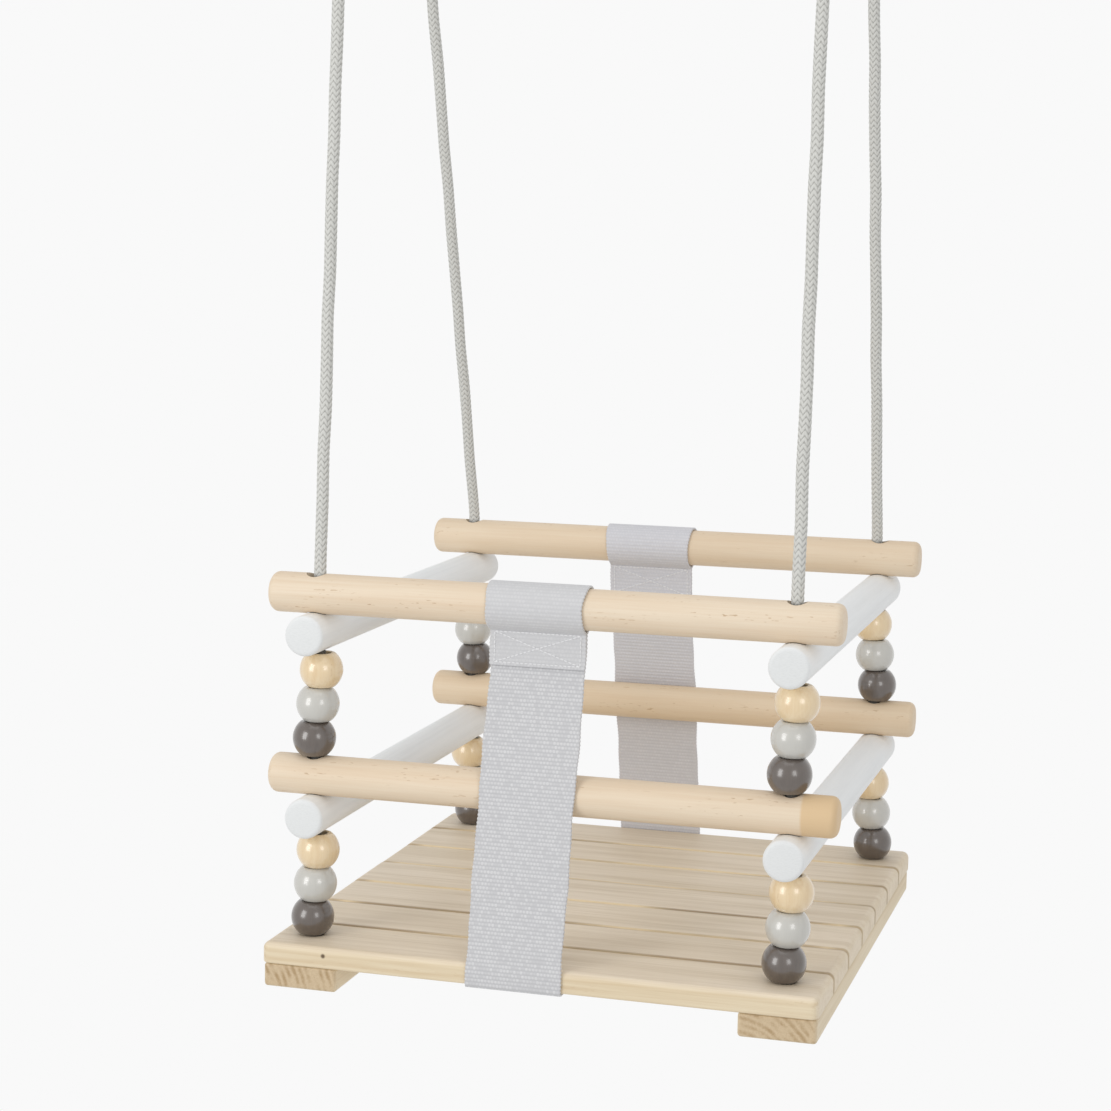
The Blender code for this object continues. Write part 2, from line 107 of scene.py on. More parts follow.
# The top tone is weathered grey and is also painted lighter, a stand-in for light from above; the
# sawn ends take part of it as painted light.
GREY_DEPTH = 0.8 * SLAT_ROUND
PAINTED_END_LIGHT_SHARE = 0.6
END_SKIN = 0.001
SLAT_TONES = ((0.815, 0.70, 0.505), (0.61, 0.45, 0.26), (0.50, 0.34, 0.19))
WEATHERED_LIT_TONES = ((0.88, 0.77, 0.625), (0.65, 0.535, 0.38), (0.50, 0.40, 0.28))
# A dark spot on the front slat's front face is painted shade in a pin hole.
PAINTED_PIN_HOLE = SEAT @ Vector((-0.128, -SEAT_FRONT, -0.0052))
SHARP_ANGLE = math.radians(38)


def add_node(tree, kind, inputs=(), **settings):
    """One shader node; an input is given a value, or the socket that feeds it."""
    made = tree.nodes.new(kind)
    for name, value in settings.items():
        setattr(made, name, value)
    for name, value in dict(inputs).items():
        socket = made.inputs[name]
        if isinstance(value, bpy.types.NodeSocket):
            tree.links.new(value, socket)
        else:
            socket.default_value = (*value, 1) if socket.type == "RGBA" else value
    return made


def maths(tree, operation, first, second=0.0):
    """One step of reckoning, such as ADD or FLOOR, on values or sockets."""
    return add_node(tree, "ShaderNodeMath", {0: first, 1: second}, operation=operation).outputs[0]


def times(tree, first, second):
    return maths(tree, "MULTIPLY", first, second)


def blend_colours(tree, share, first, second):
    """The first colour where the share is nought, the second where it is one."""
    inputs = {0: share, 6: first, 7: second}
    return add_node(tree, "ShaderNodeMix", inputs, data_type="RGBA").outputs[2]


def spread(tree, value, low, high):
    """A value between nought and one, spread evenly from the low value to the high one."""
    inputs = {"Value": value, "To Min": low, "To Max": high}
    return add_node(tree, "ShaderNodeMapRange", inputs).outputs[0]


def between(tree, value, low, high):
    """Nought below the low value, one above the high one, and a smooth step in between."""
    inputs = {"Value": value, "From Min": low, "From Max": high}
    return add_node(tree, "ShaderNodeMapRange", inputs, interpolation_type="SMOOTHSTEP").outputs[0]


def attribute(tree, name, output="Fac"):
    return add_node(tree, "ShaderNodeAttribute", attribute_name=name).outputs[output]


def object_place(tree):
    return add_node(tree, "ShaderNodeTexCoord").outputs["Object"]


def distance_from(tree, point):
    inputs = {0: object_place(tree), 1: point}
    return add_node(tree, "ShaderNodeVectorMath", inputs, operation="DISTANCE").outputs["Value"]


def stretched_noise(tree, place, scale, detail=3.0):
    """Noise with so many grains to the metre along, across and through a piece."""
    mapped = add_node(tree, "ShaderNodeMapping", {"Vector": place, "Scale": scale}).outputs[0]
    inputs = {"Vector": mapped, "Scale": 1.0, "Detail": detail}
    return add_node(tree, "ShaderNodeTexNoise", inputs).outputs[0]


def wood_grain_group():
    """Year rings round the pith, fibres and short ray flecks, from a place along the grain."""
    group = bpy.data.node_groups.new("wood_grain", "ShaderNodeTree")
    for way, kind, labels in (
        ("INPUT", "Vector", ("Place",)),
        ("INPUT", "Color", ("Pale", "Brown", "Fleck")),
        ("INPUT", "Float", ("Ring Share", "Fibre Share", "Fleck Share", "Patch Share")),
        ("OUTPUT", "Color", ("Color",)),
        ("OUTPUT", "Float", ("Roughness", "Height")),
    ):
        for label in labels:
            group.interface.new_socket(label, in_out=way, socket_type=f"NodeSocket{kind}")
    given = group.nodes.new("NodeGroupInput").outputs
    made = group.nodes.new("NodeGroupOutput").inputs
    place = given["Place"]
    slow = add_node(group, "ShaderNodeMapping", {"Vector": place, "Scale": (0.06, 1, 1)}).outputs[0]
    rings = add_node(
        group,
        "ShaderNodeTexWave",
        {"Vector": slow, "Scale": 80.0, "Distortion": 2.2, "Detail": 2.0, "Detail Scale": 0.6},
        wave_type="RINGS",
        rings_direction="X",
        wave_profile="SIN",
    ).outputs[1]
    bands = between(group, stretched_noise(group, place, (4, 130, 130)), 0.34, 0.68)
    clouds = between(group, stretched_noise(group, place, (5, 95, 95), 2.0), 0.38, 0.68)
    rays = between(group, stretched_noise(group, place, (200, 1000, 1000), 1.0), 0.64, 0.72)
    patches = between(group, stretched_noise(group, place, (18, 160, 160), 2.0), 0.52, 0.66)
    fibres = stretched_noise(group, place, (22, 1100, 1100), 4.0)
    ring_part = times(group, times(group, rings, bands), given["Ring Share"])
    fibre_part = times(group, between(group, fibres, 0.3, 0.75), given["Fibre Share"])
    cloud_part = times(group, clouds, given["Patch Share"])
    shade = maths(group, "ADD", maths(group, "ADD", ring_part, fibre_part), cloud_part)
    wood = blend_colours(group, shade, given["Pale"], given["Brown"])
    fleck = times(group, times(group, rays, patches), given["Fleck Share"])
    group.links.new(blend_colours(group, fleck, wood, given["Fleck"]), made["Color"])
    group.links.new(spread(group, fibres, 0.44, 0.62), made["Roughness"])
    group.links.new(maths(group, "SUBTRACT", fibres, fleck), made["Height"])
    return group


WOOD_GRAIN = wood_grain_group()


def wood_in(tree, tones, rings, fibres, flecks, patches=0.0):
    """The wood's pattern in its pale, brown and fleck tones, with a share for each kind of mark."""
    inputs = {
        "Place": attribute(tree, "grain", "Vector"),
        "Ring Share": rings,
        "Fibre Share": fibres,
        "Fleck Share": flecks,
        "Patch Share": patches,
    }
    inputs.update(zip(("Pale", "Brown", "Fleck"), tones))
    return add_node(tree, "ShaderNodeGroup", inputs, node_tree=WOOD_GRAIN).outputs


def new_finish(name, **sockets):
    """A material with its Principled shader, and the sockets that are the same all over it."""
    material = bpy.data.materials.new(name)
    material.use_nodes = True
    shader = material.node_tree.nodes["Principled BSDF"]
    for label, value in sockets.items():
        shader.inputs[label.replace("_", " ")].default_value = value
    return material, material.node_tree, shader.inputs


def lay_on(tree, shader, colour, roughness):
    tree.links.new(colour, shader["Base Color"])
    tree.links.new(roughness, shader["Roughness"])


def raise_surface(tree, shader, height, strength, distance):
    inputs = {"Strength": strength, "Distance": distance, "Height": height}
    tree.links.new(add_node(tree, "ShaderNodeBump", inputs).outputs[0], shader["Normal"])


def slat_finish():
    material, tree, shader = new_finish("planed_slat")
    wood = wood_in(tree, SLAT_TONES, rings=0.34, fibres=0.3, flecks=0.2, patches=0.15)
    # worn is the weathered top tone, also painted lighter in place of light from above.
    worn = wood_in(tree, WEATHERED_LIT_TONES, rings=0.10, fibres=0.4, flecks=0.2, patches=0.42)
    colour = blend_colours(tree, attribute(tree, "top"), wood["Color"], worn["Color"])
    # Painted shade: a dark spot stands for the inside of the pin hole in the front slat's front
    # face.
    clear = between(tree, distance_from(tree, PAINTED_PIN_HOLE), 0.0006, 0.0019)
    colour = blend_colours(tree, clear, (0.13, 0.085, 0.045), colour)
    # Painted shade: along each seam the arris turns to the yellow-tan of unweathered wood, and in
    # patches to dark brown, which is painted shade of the gap between the slats; towards the slat
    # ends more of it is dark brown.
    grain = attribute(tree, "grain", "Vector")
    closed = between(tree, stretched_noise(tree, grain, (9, 14, 14), 2.0), 0.40, 0.56)
    closed = times(tree, closed, attribute(tree, "inner"))
    seam_wood_and_shade = blend_colours(tree, closed, (0.31, 0.21, 0.11), (0.84, 0.67, 0.41))
    arris = times(tree, attribute(tree, "seam"), 0.8)
    lay_on(tree, shader, blend_colours(tree, arris, colour, seam_wood_and_shade), wood["Roughness"])
    raise_surface(tree, shader, wood["Height"], 0.15, 0.0003)
    return material


def clamped(value, low=0.0, high=1.0):
    return min(max(value, low), high)


def both_ways(*reaches):
    """The given distances to one side of the middle, then to the other."""
    return [side * reach for side in (-1, 1) for reach in reaches]


def slat_middle(number):
    return (number - (SLAT_COUNT + 1) / 2) * SLAT_PITCH


def edges_in_plane(bm, axis, level):
    return [e for e in bm.edges if all(abs(v.co[axis] - level) < 1e-6 for v in e.verts)]


def round_edges(bm, edges, width, segments):
    bmesh.ops.bevel(
        bm, geom=edges, offset=width, affect="EDGES", segments=segments, profile=0.5, material=-1
    )


def rounded_board(size, upper_round, lower_round, corner_round, seams=()):
    """A board about its own middle: free upright corners, then upper rim, seams and lower rim."""
    bm = bmesh.new()
    bmesh.ops.create_cube(bm, size=1.0, matrix=Matrix.Diagonal((*size, 1.0)))
    bottom, top = -size[2] / 2, size[2] / 2
    level = edges_in_plane(bm, 2, bottom) + edges_in_plane(bm, 2, top)
    upright = [e for e in bm.edges if e not in level]
    free = [e for e in upright if math.copysign(1, e.verts[0].co.y) not in seams]
    if free:
        round_edges(bm, free, corner_round, 5)
    joined = [e for side in seams for e in edges_in_plane(bm, 1, side * size[1] / 2)]
    round_edges(bm, [e for e in edges_in_plane(bm, 2, top) if e not in joined], upper_round, 6)
    for side in seams:
        below = edges_in_plane(bm, 2, bottom)
        meeting = [e for e in edges_in_plane(bm, 1, side * size[1] / 2) if e not in below]
        round_edges(bm, meeting, SLAT_SEAM_ROUND, 4)
    round_edges(bm, edges_in_plane(bm, 2, bottom), lower_round, 3)
    return bm


def part_faces(bm, axis, levels):
    """Lines across a piece at the given levels, so that its long faces stay square and clean."""
    for level in levels:
        bmesh.ops.bisect_plane(
            bm,
            geom=bm.verts[:] + bm.edges[:] + bm.faces[:],
            plane_co=[level] * 3,
            plane_no=[float(axis == name) for name in "XYZ"],
            dist=1e-7,
        )


def add_round(bm, segments, low_radius, high_radius, depth, place=Matrix()):
    """A closed round or taper about its own middle, such as a drill bit or the blank of a dowel."""
    radii = {"radius1": low_radius, "radius2": high_radius}
    bmesh.ops.create_cone(bm, cap_ends=True, segments=segments, depth=depth, matrix=place, **radii)


def upright_cutters(places, low, high, low_radius, high_radius):
    """Drill or countersink bits standing upright at the given places."""
    bm = bmesh.new()
    for x, y in places:
        middle = Matrix.Translation((x, y, (low + high) / 2))
        add_round(bm, 32, low_radius, high_radius, high - low, middle)
    return bm


def drilled(bm, bits):
    """The piece that is left when the bits have gone through it."""
    blank, tool = bpy.data.meshes.new("blank"), bpy.data.meshes.new("bits")
    bm.to_mesh(blank)
    bits.to_mesh(tool)
    piece, cutter = bpy.data.objects.new("blank", blank), bpy.data.objects.new("bits", tool)
    for obj in (piece, cutter):
        bpy.context.scene.collection.objects.link(obj)
    hole = piece.modifiers.new("Holes", "BOOLEAN")
    hole.object = cutter
    hole.solver = "EXACT"
    bm.clear()
    bm.from_object(piece, bpy.context.evaluated_depsgraph_get())
    for obj in (piece, cutter):
        bpy.data.objects.remove(obj, do_unlink=True)
    return bm


def mark_grain(bm, along, pith):
    """Writes each point's place along the grain, from the pith of the log that a piece is cut from.
    The pith lies in another place for each piece, so that no two have the same figure."""
    layer = bm.verts.layers.float_vector.new("grain")
    turn = {
        "X": Matrix.Identity(3),
        "Y": Matrix.Rotation(-math.pi / 2, 3, "Z"),
        "Z": Matrix.Rotation(math.pi / 2, 3, "Y"),
    }[along]
    for vert in bm.verts:
        vert[layer] = turn @ vert.co + Vector(pith)


def new_marks(bm, *names):
    """Values that a finish reads at each point. All are made before the first is taken hold of."""
    for name in names:
        bm.verts.layers.float.new(name)
    return [bm.verts.layers.float[name] for name in names]


def fit_piece(name, bm, finish, nodes=(), place=SEAT, body="swing", flat_faces=False):
    """Puts a modelled piece in its place on a body, instead of the nodes that it stands for."""
    bmesh.ops.transform(bm, matrix=place, verts=bm.verts)
    mesh = bpy.data.meshes.new(name)
    bm.to_mesh(mesh)
    bm.free()
    mesh.shade_smooth()
    mesh.set_sharp_from_angle(angle=SHARP_ANGLE)
    mesh.materials.append(finish)
    piece = bpy.data.objects.new(name, mesh)
    bpy.context.scene.collection.objects.link(piece)
    if flat_faces:
        piece.modifiers.new("Flat faces", "WEIGHTED_NORMAL").keep_sharp = True
    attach(piece, body)
    if nodes:
        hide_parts(*nodes)
    return piece


columns = [(x * COLUMN_X, y * COLUMN_Y) for _, x in SIDES for _, y in ENDS]
rope_bits = upright_cutters(columns, *ROPE_BIT_ENDS, ROPE_HOLE, ROPE_HOLE)
slat_wood = slat_finish()
for number in range(1, SLAT_COUNT + 1):
    y = slat_middle(number)
    planed = Vector(SLAT_SIZE) - Vector((0, 0, PLANING_STEP * (number * 3 % 4)))
    seams = [side for side in (-1, 1) if 1 <= number + side <= SLAT_COUNT]
    slat = rounded_board(planed, SLAT_ROUND, SLAT_LOWER_ROUND, SLAT_CORNER_ROUND, seams)
    hole_sides = (COLUMN_X - SLAT_HOLE_MARGIN, COLUMN_X + SLAT_HOLE_MARGIN)
    part_faces(slat, "X", both_ways(SEAM_REACH, *hole_sides))
    part_faces(slat, "Y", both_ways(SLAT_SIZE[1] / 2 - RIM_STRIP, SLAT_SIZE[1] / 2 - SEAM_STRIP))
    bmesh.ops.translate(slat, vec=(0, y, planed.z / 2 - SLAT_SIZE[2]), verts=slat.verts)
    if number in (1, SLAT_COUNT):
        slat = drilled(slat, rope_bits)
    beside = 0.011 * (number * 3 % 7) - y - 0.03
    mark_grain(slat, "X", (0.37 * number, beside, 0.045 + 0.008 * (number * 5 % 4)))
    # seam marks each arris at a seam for painted gap shade and unweathered wood; inner lets more of
    # the painted shade show near the slat ends.
    top, seam, inner = new_marks(slat, "top", "seam", "inner")
    for vert in slat.verts:
        inset = planed.y / 2 - max([side * (vert.co.y - y) for side in seams])
        vert[seam] = clamped((SEAM_STRIP - inset) / SEAM_FADE)
        vert[inner] = clamped((SEAM_REACH - abs(vert.co.x)) / SEAM_END_FADE, SEAM_END_SHARE)
        # Painted light: the sawn ends take part of the lighter top tone, standing in for light on
        # them.
        at_end = abs(vert.co.x) > SLAT_SIZE[0] / 2 - END_SKIN
        vert[top] = clamped(1 + vert.co.z / GREY_DEPTH, PAINTED_END_LIGHT_SHARE if at_end else 0.0)
    name = f"slat_{number}"
    fit_piece(f"{name}_board", slat, slat_wood, (name,), flat_faces=True)

# Battens: two bearers of the same softwood run from front to back under the rope holes. A pocket is
# bored through each end for the rope's stopper knot, and a countersunk screw holds each slat.
BATTEN_SIZE = (0.0455, 0.3482, 0.0142)
BATTEN_TOP = -SLAT_SIZE[2] - GAP
BATTEN_BOTTOM = BATTEN_TOP - BATTEN_SIZE[2]
BATTEN_ROUND = 0.0020
BATTEN_CORNER_ROUND = 0.0023
BATTEN_TONES = ((0.84, 0.72, 0.52), (0.64, 0.495, 0.30), (0.50, 0.34, 0.19))
SAWN_TONES = ((0.66, 0.52, 0.34), (0.43, 0.295, 0.155), (0.36, 0.24, 0.13))
BATTEN_PITHS = {"left": (0.1, -0.2135, 0.046), "right": (0.3, 0.1195, 0.0535)}
SAWN_FADE = 0.002
POCKET_RADIUS = 0.012
POCKET_BIT_ENDS = (-0.06, 0.01)
SCREW_HEAD_RADIUS = 0.0038
SCREW_STAGGER = 0.004
END_SCREW_SHARE = 0.86
COUNTERSINK_DEPTH = 0.0029
COUNTERSINK_TIP = 0.0011
BIT_OVERRUN = 0.0001


def batten_finish():
    material, tree, shader = new_finish("sawn_batten")
    wood = wood_in(tree, BATTEN_TONES, rings=0.4, fibres=0.3, flecks=0.2, patches=0.2)
    sawn = wood_in(tree, SAWN_TONES, rings=0.9, fibres=0.3, flecks=0.2)
    colour = blend_colours(tree, attribute(tree, "sawn"), wood["Color"], sawn["Color"])
    lay_on(tree, shader, colour, wood["Roughness"])
    raise_surface(tree, shader, wood["Height"], 0.3, 0.0003)
    return material


def mark_sawn_ends(bm, length):
    """Marks the sawn front and back ends of a piece, which look different from its sides."""
    sawn = bm.verts.layers.float.new("sawn")
    for vert in bm.verts:
        vert[sawn] = clamped((abs(vert.co.y) - length / 2) / SAWN_FADE + 1.0)


screw_places = []
for _, x_sign in SIDES:
    for number in range(1, SLAT_COUNT + 1):
        x = x_sign * (COLUMN_X - SCREW_STAGGER * (-1) ** number)
        share = END_SCREW_SHARE if number in (1, SLAT_COUNT) else 1
        screw_places.append((x, slat_middle(number) * share))
countersinks = upright_cutters(
    screw_places,
    BATTEN_BOTTOM - BIT_OVERRUN,
    BATTEN_BOTTOM + COUNTERSINK_DEPTH,
    SCREW_HEAD_RADIUS + GAP,
    COUNTERSINK_TIP,
)
sink_mesh = bpy.data.meshes.new("countersinks")
countersinks.to_mesh(sink_mesh)
batten_bits = upright_cutters(columns, *POCKET_BIT_ENDS, POCKET_RADIUS, POCKET_RADIUS)
batten_bits.from_mesh(sink_mesh)
batten_wood = batten_finish()
for side, x_sign in SIDES:
    batten = rounded_board(BATTEN_SIZE, BATTEN_ROUND, BATTEN_ROUND, BATTEN_CORNER_ROUND)
    middle = (x_sign * COLUMN_X, 0, (BATTEN_TOP + BATTEN_BOTTOM) / 2)
    bmesh.ops.translate(batten, vec=middle, verts=batten.verts)
    part_faces(batten, "Y", [slat_middle(number + 0.5) for number in range(1, SLAT_COUNT)])
    batten = drilled(batten, batten_bits)
    mark_grain(batten, "Y", BATTEN_PITHS[side])
    mark_sawn_ends(batten, BATTEN_SIZE[1])
    name = f"batten_{side}"
    fit_piece(f"{name}_board", batten, batten_wood, (name,), flat_faces=True)

# Screws: plated countersunk wood screws, one for each slat in each batten, driven from below until
# the head is just under the wood. Only the head with its cross recess can be seen.
SCREW_HEAD_DEPTH = 0.0026
SCREW_NECK_RADIUS = 0.0010
SCREW_RIM_ROUND = 0.0003
SCREW_SUNK = 0.0002
SCREW_TURN = 1.1
CROSS_BAR = (0.0040, 0.0009, 0.0016)
CROSS_TURN = 0.4


def screw_finish():
    material, tree, shader = new_finish("plated_screw", Metallic=1.0)
    dull = stretched_noise(tree, object_place(tree), (700, 700, 700), 4.0)
    colour = blend_colours(tree, dull, (0.62, 0.57, 0.42), (0.44, 0.40, 0.31))
    lay_on(tree, shader, colour, spread(tree, dull, 0.22, 0.5))
    return material


def screw_head():
    """A countersunk head seen from below, its rim eased and the cross driven in."""
    bm = bmesh.new()
    add_round(bm, 24, SCREW_HEAD_RADIUS, SCREW_NECK_RADIUS, SCREW_HEAD_DEPTH)
    rim = [e for e in bm.edges if all(v.co.z < 0 for v in e.verts)]
    round_edges(bm, rim, SCREW_RIM_ROUND, 2)
    face = Matrix.Translation((0, 0, -SCREW_HEAD_DEPTH / 2))
    cross = bmesh.new()
    for turn in (0, math.pi / 2):
        bar = Matrix.Rotation(turn + CROSS_TURN, 4, "Z") @ Matrix.Diagonal((*CROSS_BAR, 1.0))
        bmesh.ops.create_cube(cross, size=1.0, matrix=face @ bar)
        bm = drilled(bm, cross)
        cross.clear()
    return bm


heads = bmesh.new()
pattern = bpy.data.meshes.new("screw_head")
screw_head().to_mesh(pattern)
for index, (x, y) in enumerate(screw_places):
    before = set(heads.verts)
    heads.from_mesh(pattern)
    middle = Matrix.Translation((x, y, BATTEN_BOTTOM + SCREW_HEAD_DEPTH / 2 + SCREW_SUNK))
    turned = middle @ Matrix.Rotation(SCREW_TURN * index, 4, "Z")
    bmesh.ops.transform(heads, matrix=turned, verts=[v for v in heads.verts if v not in before])
fit_piece("screw_heads", heads, screw_finish())

# Beech rods: four dowels turned to 24 mm lie from left to right, at the front and the back of the
# cage. Their ends are rounded over, and a wide hole through each end lets the rope pass upright.
# Some are warmer than others, and the right end of the lower front one is golden heartwood.
ROD_RADIUS = 0.012
ROD_HOLE_MARGIN = 0.008
BEECH_ROD_LENGTH = 0.3415
BEECH_END_ROUND = 0.0045
BEECH_TONES = ((0.835, 0.71, 0.55), (0.74, 0.57, 0.40), (0.50, 0.33, 0.18))
WARM_BEECH = (0.735, 0.53, 0.305)
WARMTH = {
    ("lower", "front"): 0.05,
    ("lower", "back"): 0.32,
    ("upper", "front"): 0.0,
    ("upper", "back"): 0.15,
}
HEARTWOOD_ROD = ("lower", "front")
HEARTWOOD_X = 0.1500
HEARTWOOD_MARGIN = 0.0005
HEARTWOOD_WARMTH = 0.95
BEAD_HEIGHT = 0.0204
STACK_HEIGHT = 3 * (BEAD_HEIGHT + GAP)
CROSSING = 2 * math.sqrt(ROD_RADIUS**2 - ROPE_HOLE**2 / 2) + GAP
LOWER_WHITE_Z = STACK_HEIGHT + GAP + ROD_RADIUS
LOWER_BEECH_Z = LOWER_WHITE_Z + CROSSING
UPPER_STACK_Z = LOWER_BEECH_Z + ROD_RADIUS
UPPER_WHITE_Z = UPPER_STACK_Z + STACK_HEIGHT + GAP + ROD_RADIUS
UPPER_BEECH_Z = UPPER_WHITE_Z + CROSSING
CAGE_TOP = UPPER_BEECH_Z + ROD_RADIUS


def beech_finish():
    material, tree, shader = new_finish("oiled_beech")
    wood = wood_in(tree, BEECH_TONES, rings=0.14, fibres=0.3, flecks=0.75, patches=0.35)
    colour = blend_colours(tree, attribute(tree, "warmth"), wood["Color"], WARM_BEECH)
    lay_on(tree, shader, colour, wood["Roughness"])
    raise_surface(tree, shader, wood["Height"], 0.2, 0.0002)
    return material


def turned_rod(length, end_round, axis):
    """A dowel about its own middle, its end rims rounded over and its rope holes still to come."""
    bm = bmesh.new()
    lying = Matrix.Rotation(math.pi / 2, 4, "Y" if axis == "X" else "X")
    add_round(bm, 64, ROD_RADIUS, ROD_RADIUS, length, lying)
    rims = [e for e in bm.edges if sum(len(f.verts) > 4 for f in e.link_faces) == 1]
    round_edges(bm, rims, end_round, 6)
    return bm


oiled_beech = beech_finish()
for tier, height in (("lower", LOWER_BEECH_Z), ("upper", UPPER_BEECH_Z)):
    for end, y_sign in ENDS:
        rod = turned_rod(BEECH_ROD_LENGTH, BEECH_END_ROUND, "X")
        hole_sides = both_ways(COLUMN_X - ROD_HOLE_MARGIN, COLUMN_X + ROD_HOLE_MARGIN)
        part_faces(rod, "X", hole_sides + [HEARTWOOD_X])
        y = y_sign * COLUMN_Y
        bmesh.ops.translate(rod, vec=(0, y, height), verts=rod.verts)
        rod = drilled(rod, rope_bits)
        mark_grain(rod, "X", (3 * height + y_sign, 0.021 - y, 0.030 - height + 0.01 * y_sign))
        warmth = rod.verts.layers.float.new("warmth")
        for vert in rod.verts:
            golden = (tier, end) == HEARTWOOD_ROD and vert.co.x > HEARTWOOD_X + HEARTWOOD_MARGIN
            vert[warmth] = HEARTWOOD_WARMTH if golden else WARMTH[tier, end]
        name = f"beech_rod_{tier}_{end}"
        fit_piece(f"{name}_dowel", rod, oiled_beech, (name,))

# White rods: four dowels of the same thickness run from front to back under the beech ones. They
# are dipped in thin white paint, which lets a trace of grain show on the sides and the marks of the
# saw on the ends.
WHITE_ROD_LENGTH = 0.340
WHITE_END_ROUND = 0.0025
PAINT_TONES = ((0.92, 0.935, 0.94), (0.82, 0.835, 0.84), (0.78, 0.785, 0.78))


def paint_finish():
    material, tree, shader = new_finish("thin_white_paint")
    wood = wood_in(tree, PAINT_TONES, rings=0.4, fibres=0.2, flecks=0.3, patches=0.25)
    saw = stretched_noise(tree, attribute(tree, "grain", "Vector"), (40, 500, 1900))
    saw_marks = between(tree, saw, 0.35, 0.7)
    end_paint = blend_colours(tree, saw_marks, (0.79, 0.805, 0.805), (0.755, 0.77, 0.77))
    colour = blend_colours(tree, attribute(tree, "sawn"), wood["Color"], end_paint)
    lay_on(tree, shader, colour, wood["Roughness"])
    raise_surface(tree, shader, wood["Height"], 0.15, 0.0002)
    return material


white_paint = paint_finish()
for tier, height in (("lower", LOWER_WHITE_Z), ("upper", UPPER_WHITE_Z)):
    for side, x_sign in SIDES:
        rod = turned_rod(WHITE_ROD_LENGTH, WHITE_END_ROUND, "Y")
        part_faces(rod, "Y", both_ways(COLUMN_Y - ROD_HOLE_MARGIN, COLUMN_Y + ROD_HOLE_MARGIN))
        bmesh.ops.translate(rod, vec=(x_sign * COLUMN_X, 0, height), verts=rod.verts)
        rod = drilled(rod, rope_bits)
        mark_grain(rod, "Y", (3 * height, 0.03 + 0.1 * x_sign, 0.02 - height))
        mark_sawn_ends(rod, WHITE_ROD_LENGTH)
        name = f"white_rod_{tier}_{side}"
        fit_piece(f"{name}_dowel", rod, white_paint, (name,))

# Beads: turned wooden balls with flat ends and a wide bore, threaded three to a stack in a dark, a
# grey and a clear finish. All are lacquered, and each turns freely on its rope.
BEAD_RADIUS = 0.0129
BEAD_BORE = 0.0055
BEAD_RIM = 0.0007
BEAD_ARC_STEPS = 18
DARK_TONES = ((0.098, 0.075, 0.061), (0.075, 0.056, 0.045), (0.06, 0.05, 0.045))
GREY_TONES = ((0.575, 0.565, 0.525), (0.525, 0.515, 0.48), (0.46, 0.45, 0.42))
CLEAR_TONES = ((0.85, 0.675, 0.425), (0.73, 0.51, 0.27), (0.52, 0.31, 0.13))


def lacquer(name, tones, **shares):
    material, tree, shader = new_finish(name, Coat_Weight=0.9, Coat_Roughness=0.18, Coat_IOR=1.7)
    wood = wood_in(tree, tones, **shares)
    worn = stretched_noise(tree, attribute(tree, "grain", "Vector"), (160, 160, 160))
    lay_on(tree, shader, wood["Color"], spread(tree, worn, 0.26, 0.42))
    raise_surface(tree, shader, wood["Height"], 0.06, 0.0002)
    return material


def spin_round(bm, section, steps):
    """Spins a closed section through a full turn about the upright axis."""
    bmesh.ops.spin(
        bm,
        geom=section,
        cent=(0, 0, 0),
        axis=(0, 0, 1),
        angle=2 * math.pi,
        steps=steps,
        use_merge=True,
    )
    bmesh.ops.remove_doubles(bm, verts=bm.verts, dist=1e-6)
    bmesh.ops.recalc_face_normals(bm, faces=bm.faces)


def turned_bead():
    """Half a section of the ball, bored through and eased at its rims, spun about the bore."""
    half = BEAD_HEIGHT / 2
    latitude = math.asin((half - 0.35 * BEAD_RIM) / BEAD_RADIUS)
    face = BEAD_RADIUS * math.cos(latitude) - BEAD_RIM
    upper = [(face, half)]
    for angle in (0.0, math.pi / 6, math.pi / 3, math.pi / 2):
        eased = (1 - math.sin(angle), 1 - math.cos(angle))
        upper.append((BEAD_BORE + BEAD_RIM * eased[0], half - BEAD_RIM * eased[1]))
    ball = []
    for step in range(BEAD_ARC_STEPS + 1):
        angle = latitude * (1 - 2 * step / BEAD_ARC_STEPS)
        ball.append((BEAD_RADIUS * math.cos(angle), BEAD_RADIUS * math.sin(angle)))
    section = upper[::-1] + ball + [(radius, -height) for radius, height in upper]
    bm = bmesh.new()
    points = [bm.verts.new((radius, 0, height)) for radius, height in section]
    rim = [bm.edges.new(pair) for pair in zip(points, points[1:] + points[:1])]
    spin_round(bm, points + rim, 48)
    return bm


bead_finishes = {
    "dark": lacquer("dark_lacquer", DARK_TONES, rings=0.5, fibres=0.4, flecks=0.5),
    "grey": lacquer("grey_lacquer", GREY_TONES, rings=0.4, fibres=0.3, flecks=0.3),
    "natural": lacquer("clear_lacquer", CLEAR_TONES, rings=0.4, fibres=0.3, flecks=0.35),
}
stacks = [(end, side, tier) for end, _ in ENDS for side, _ in SIDES for tier in ("lower", "upper")]
for order, (end, side, tier) in enumerate(stacks):
    for index, finish in enumerate(bead_finishes):
        name = f"bead_{end}_{side}_{tier}_{finish}"
        low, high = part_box(name)
        bead = turned_bead()
        turn = Matrix.Rotation(2.4 * order + index, 3, "Z")
        bmesh.ops.rotate(bead, cent=(0, 0, 0), matrix=turn, verts=bead.verts)
        pith = (0.4 * order + index, 0.004 + 0.002 * (order % 3), 0.011 - 0.003 * (order % 4))
        mark_grain(bead, "Z", pith)
        place = Matrix.Translation((low + high) / 2) @ Matrix.Rotation(-SEAT_TILT, 4, "X")
        lacquered = bead_finishes[finish]
        fit_piece(f"{name}_ball", bead, lacquered, (name,), place, body=name)

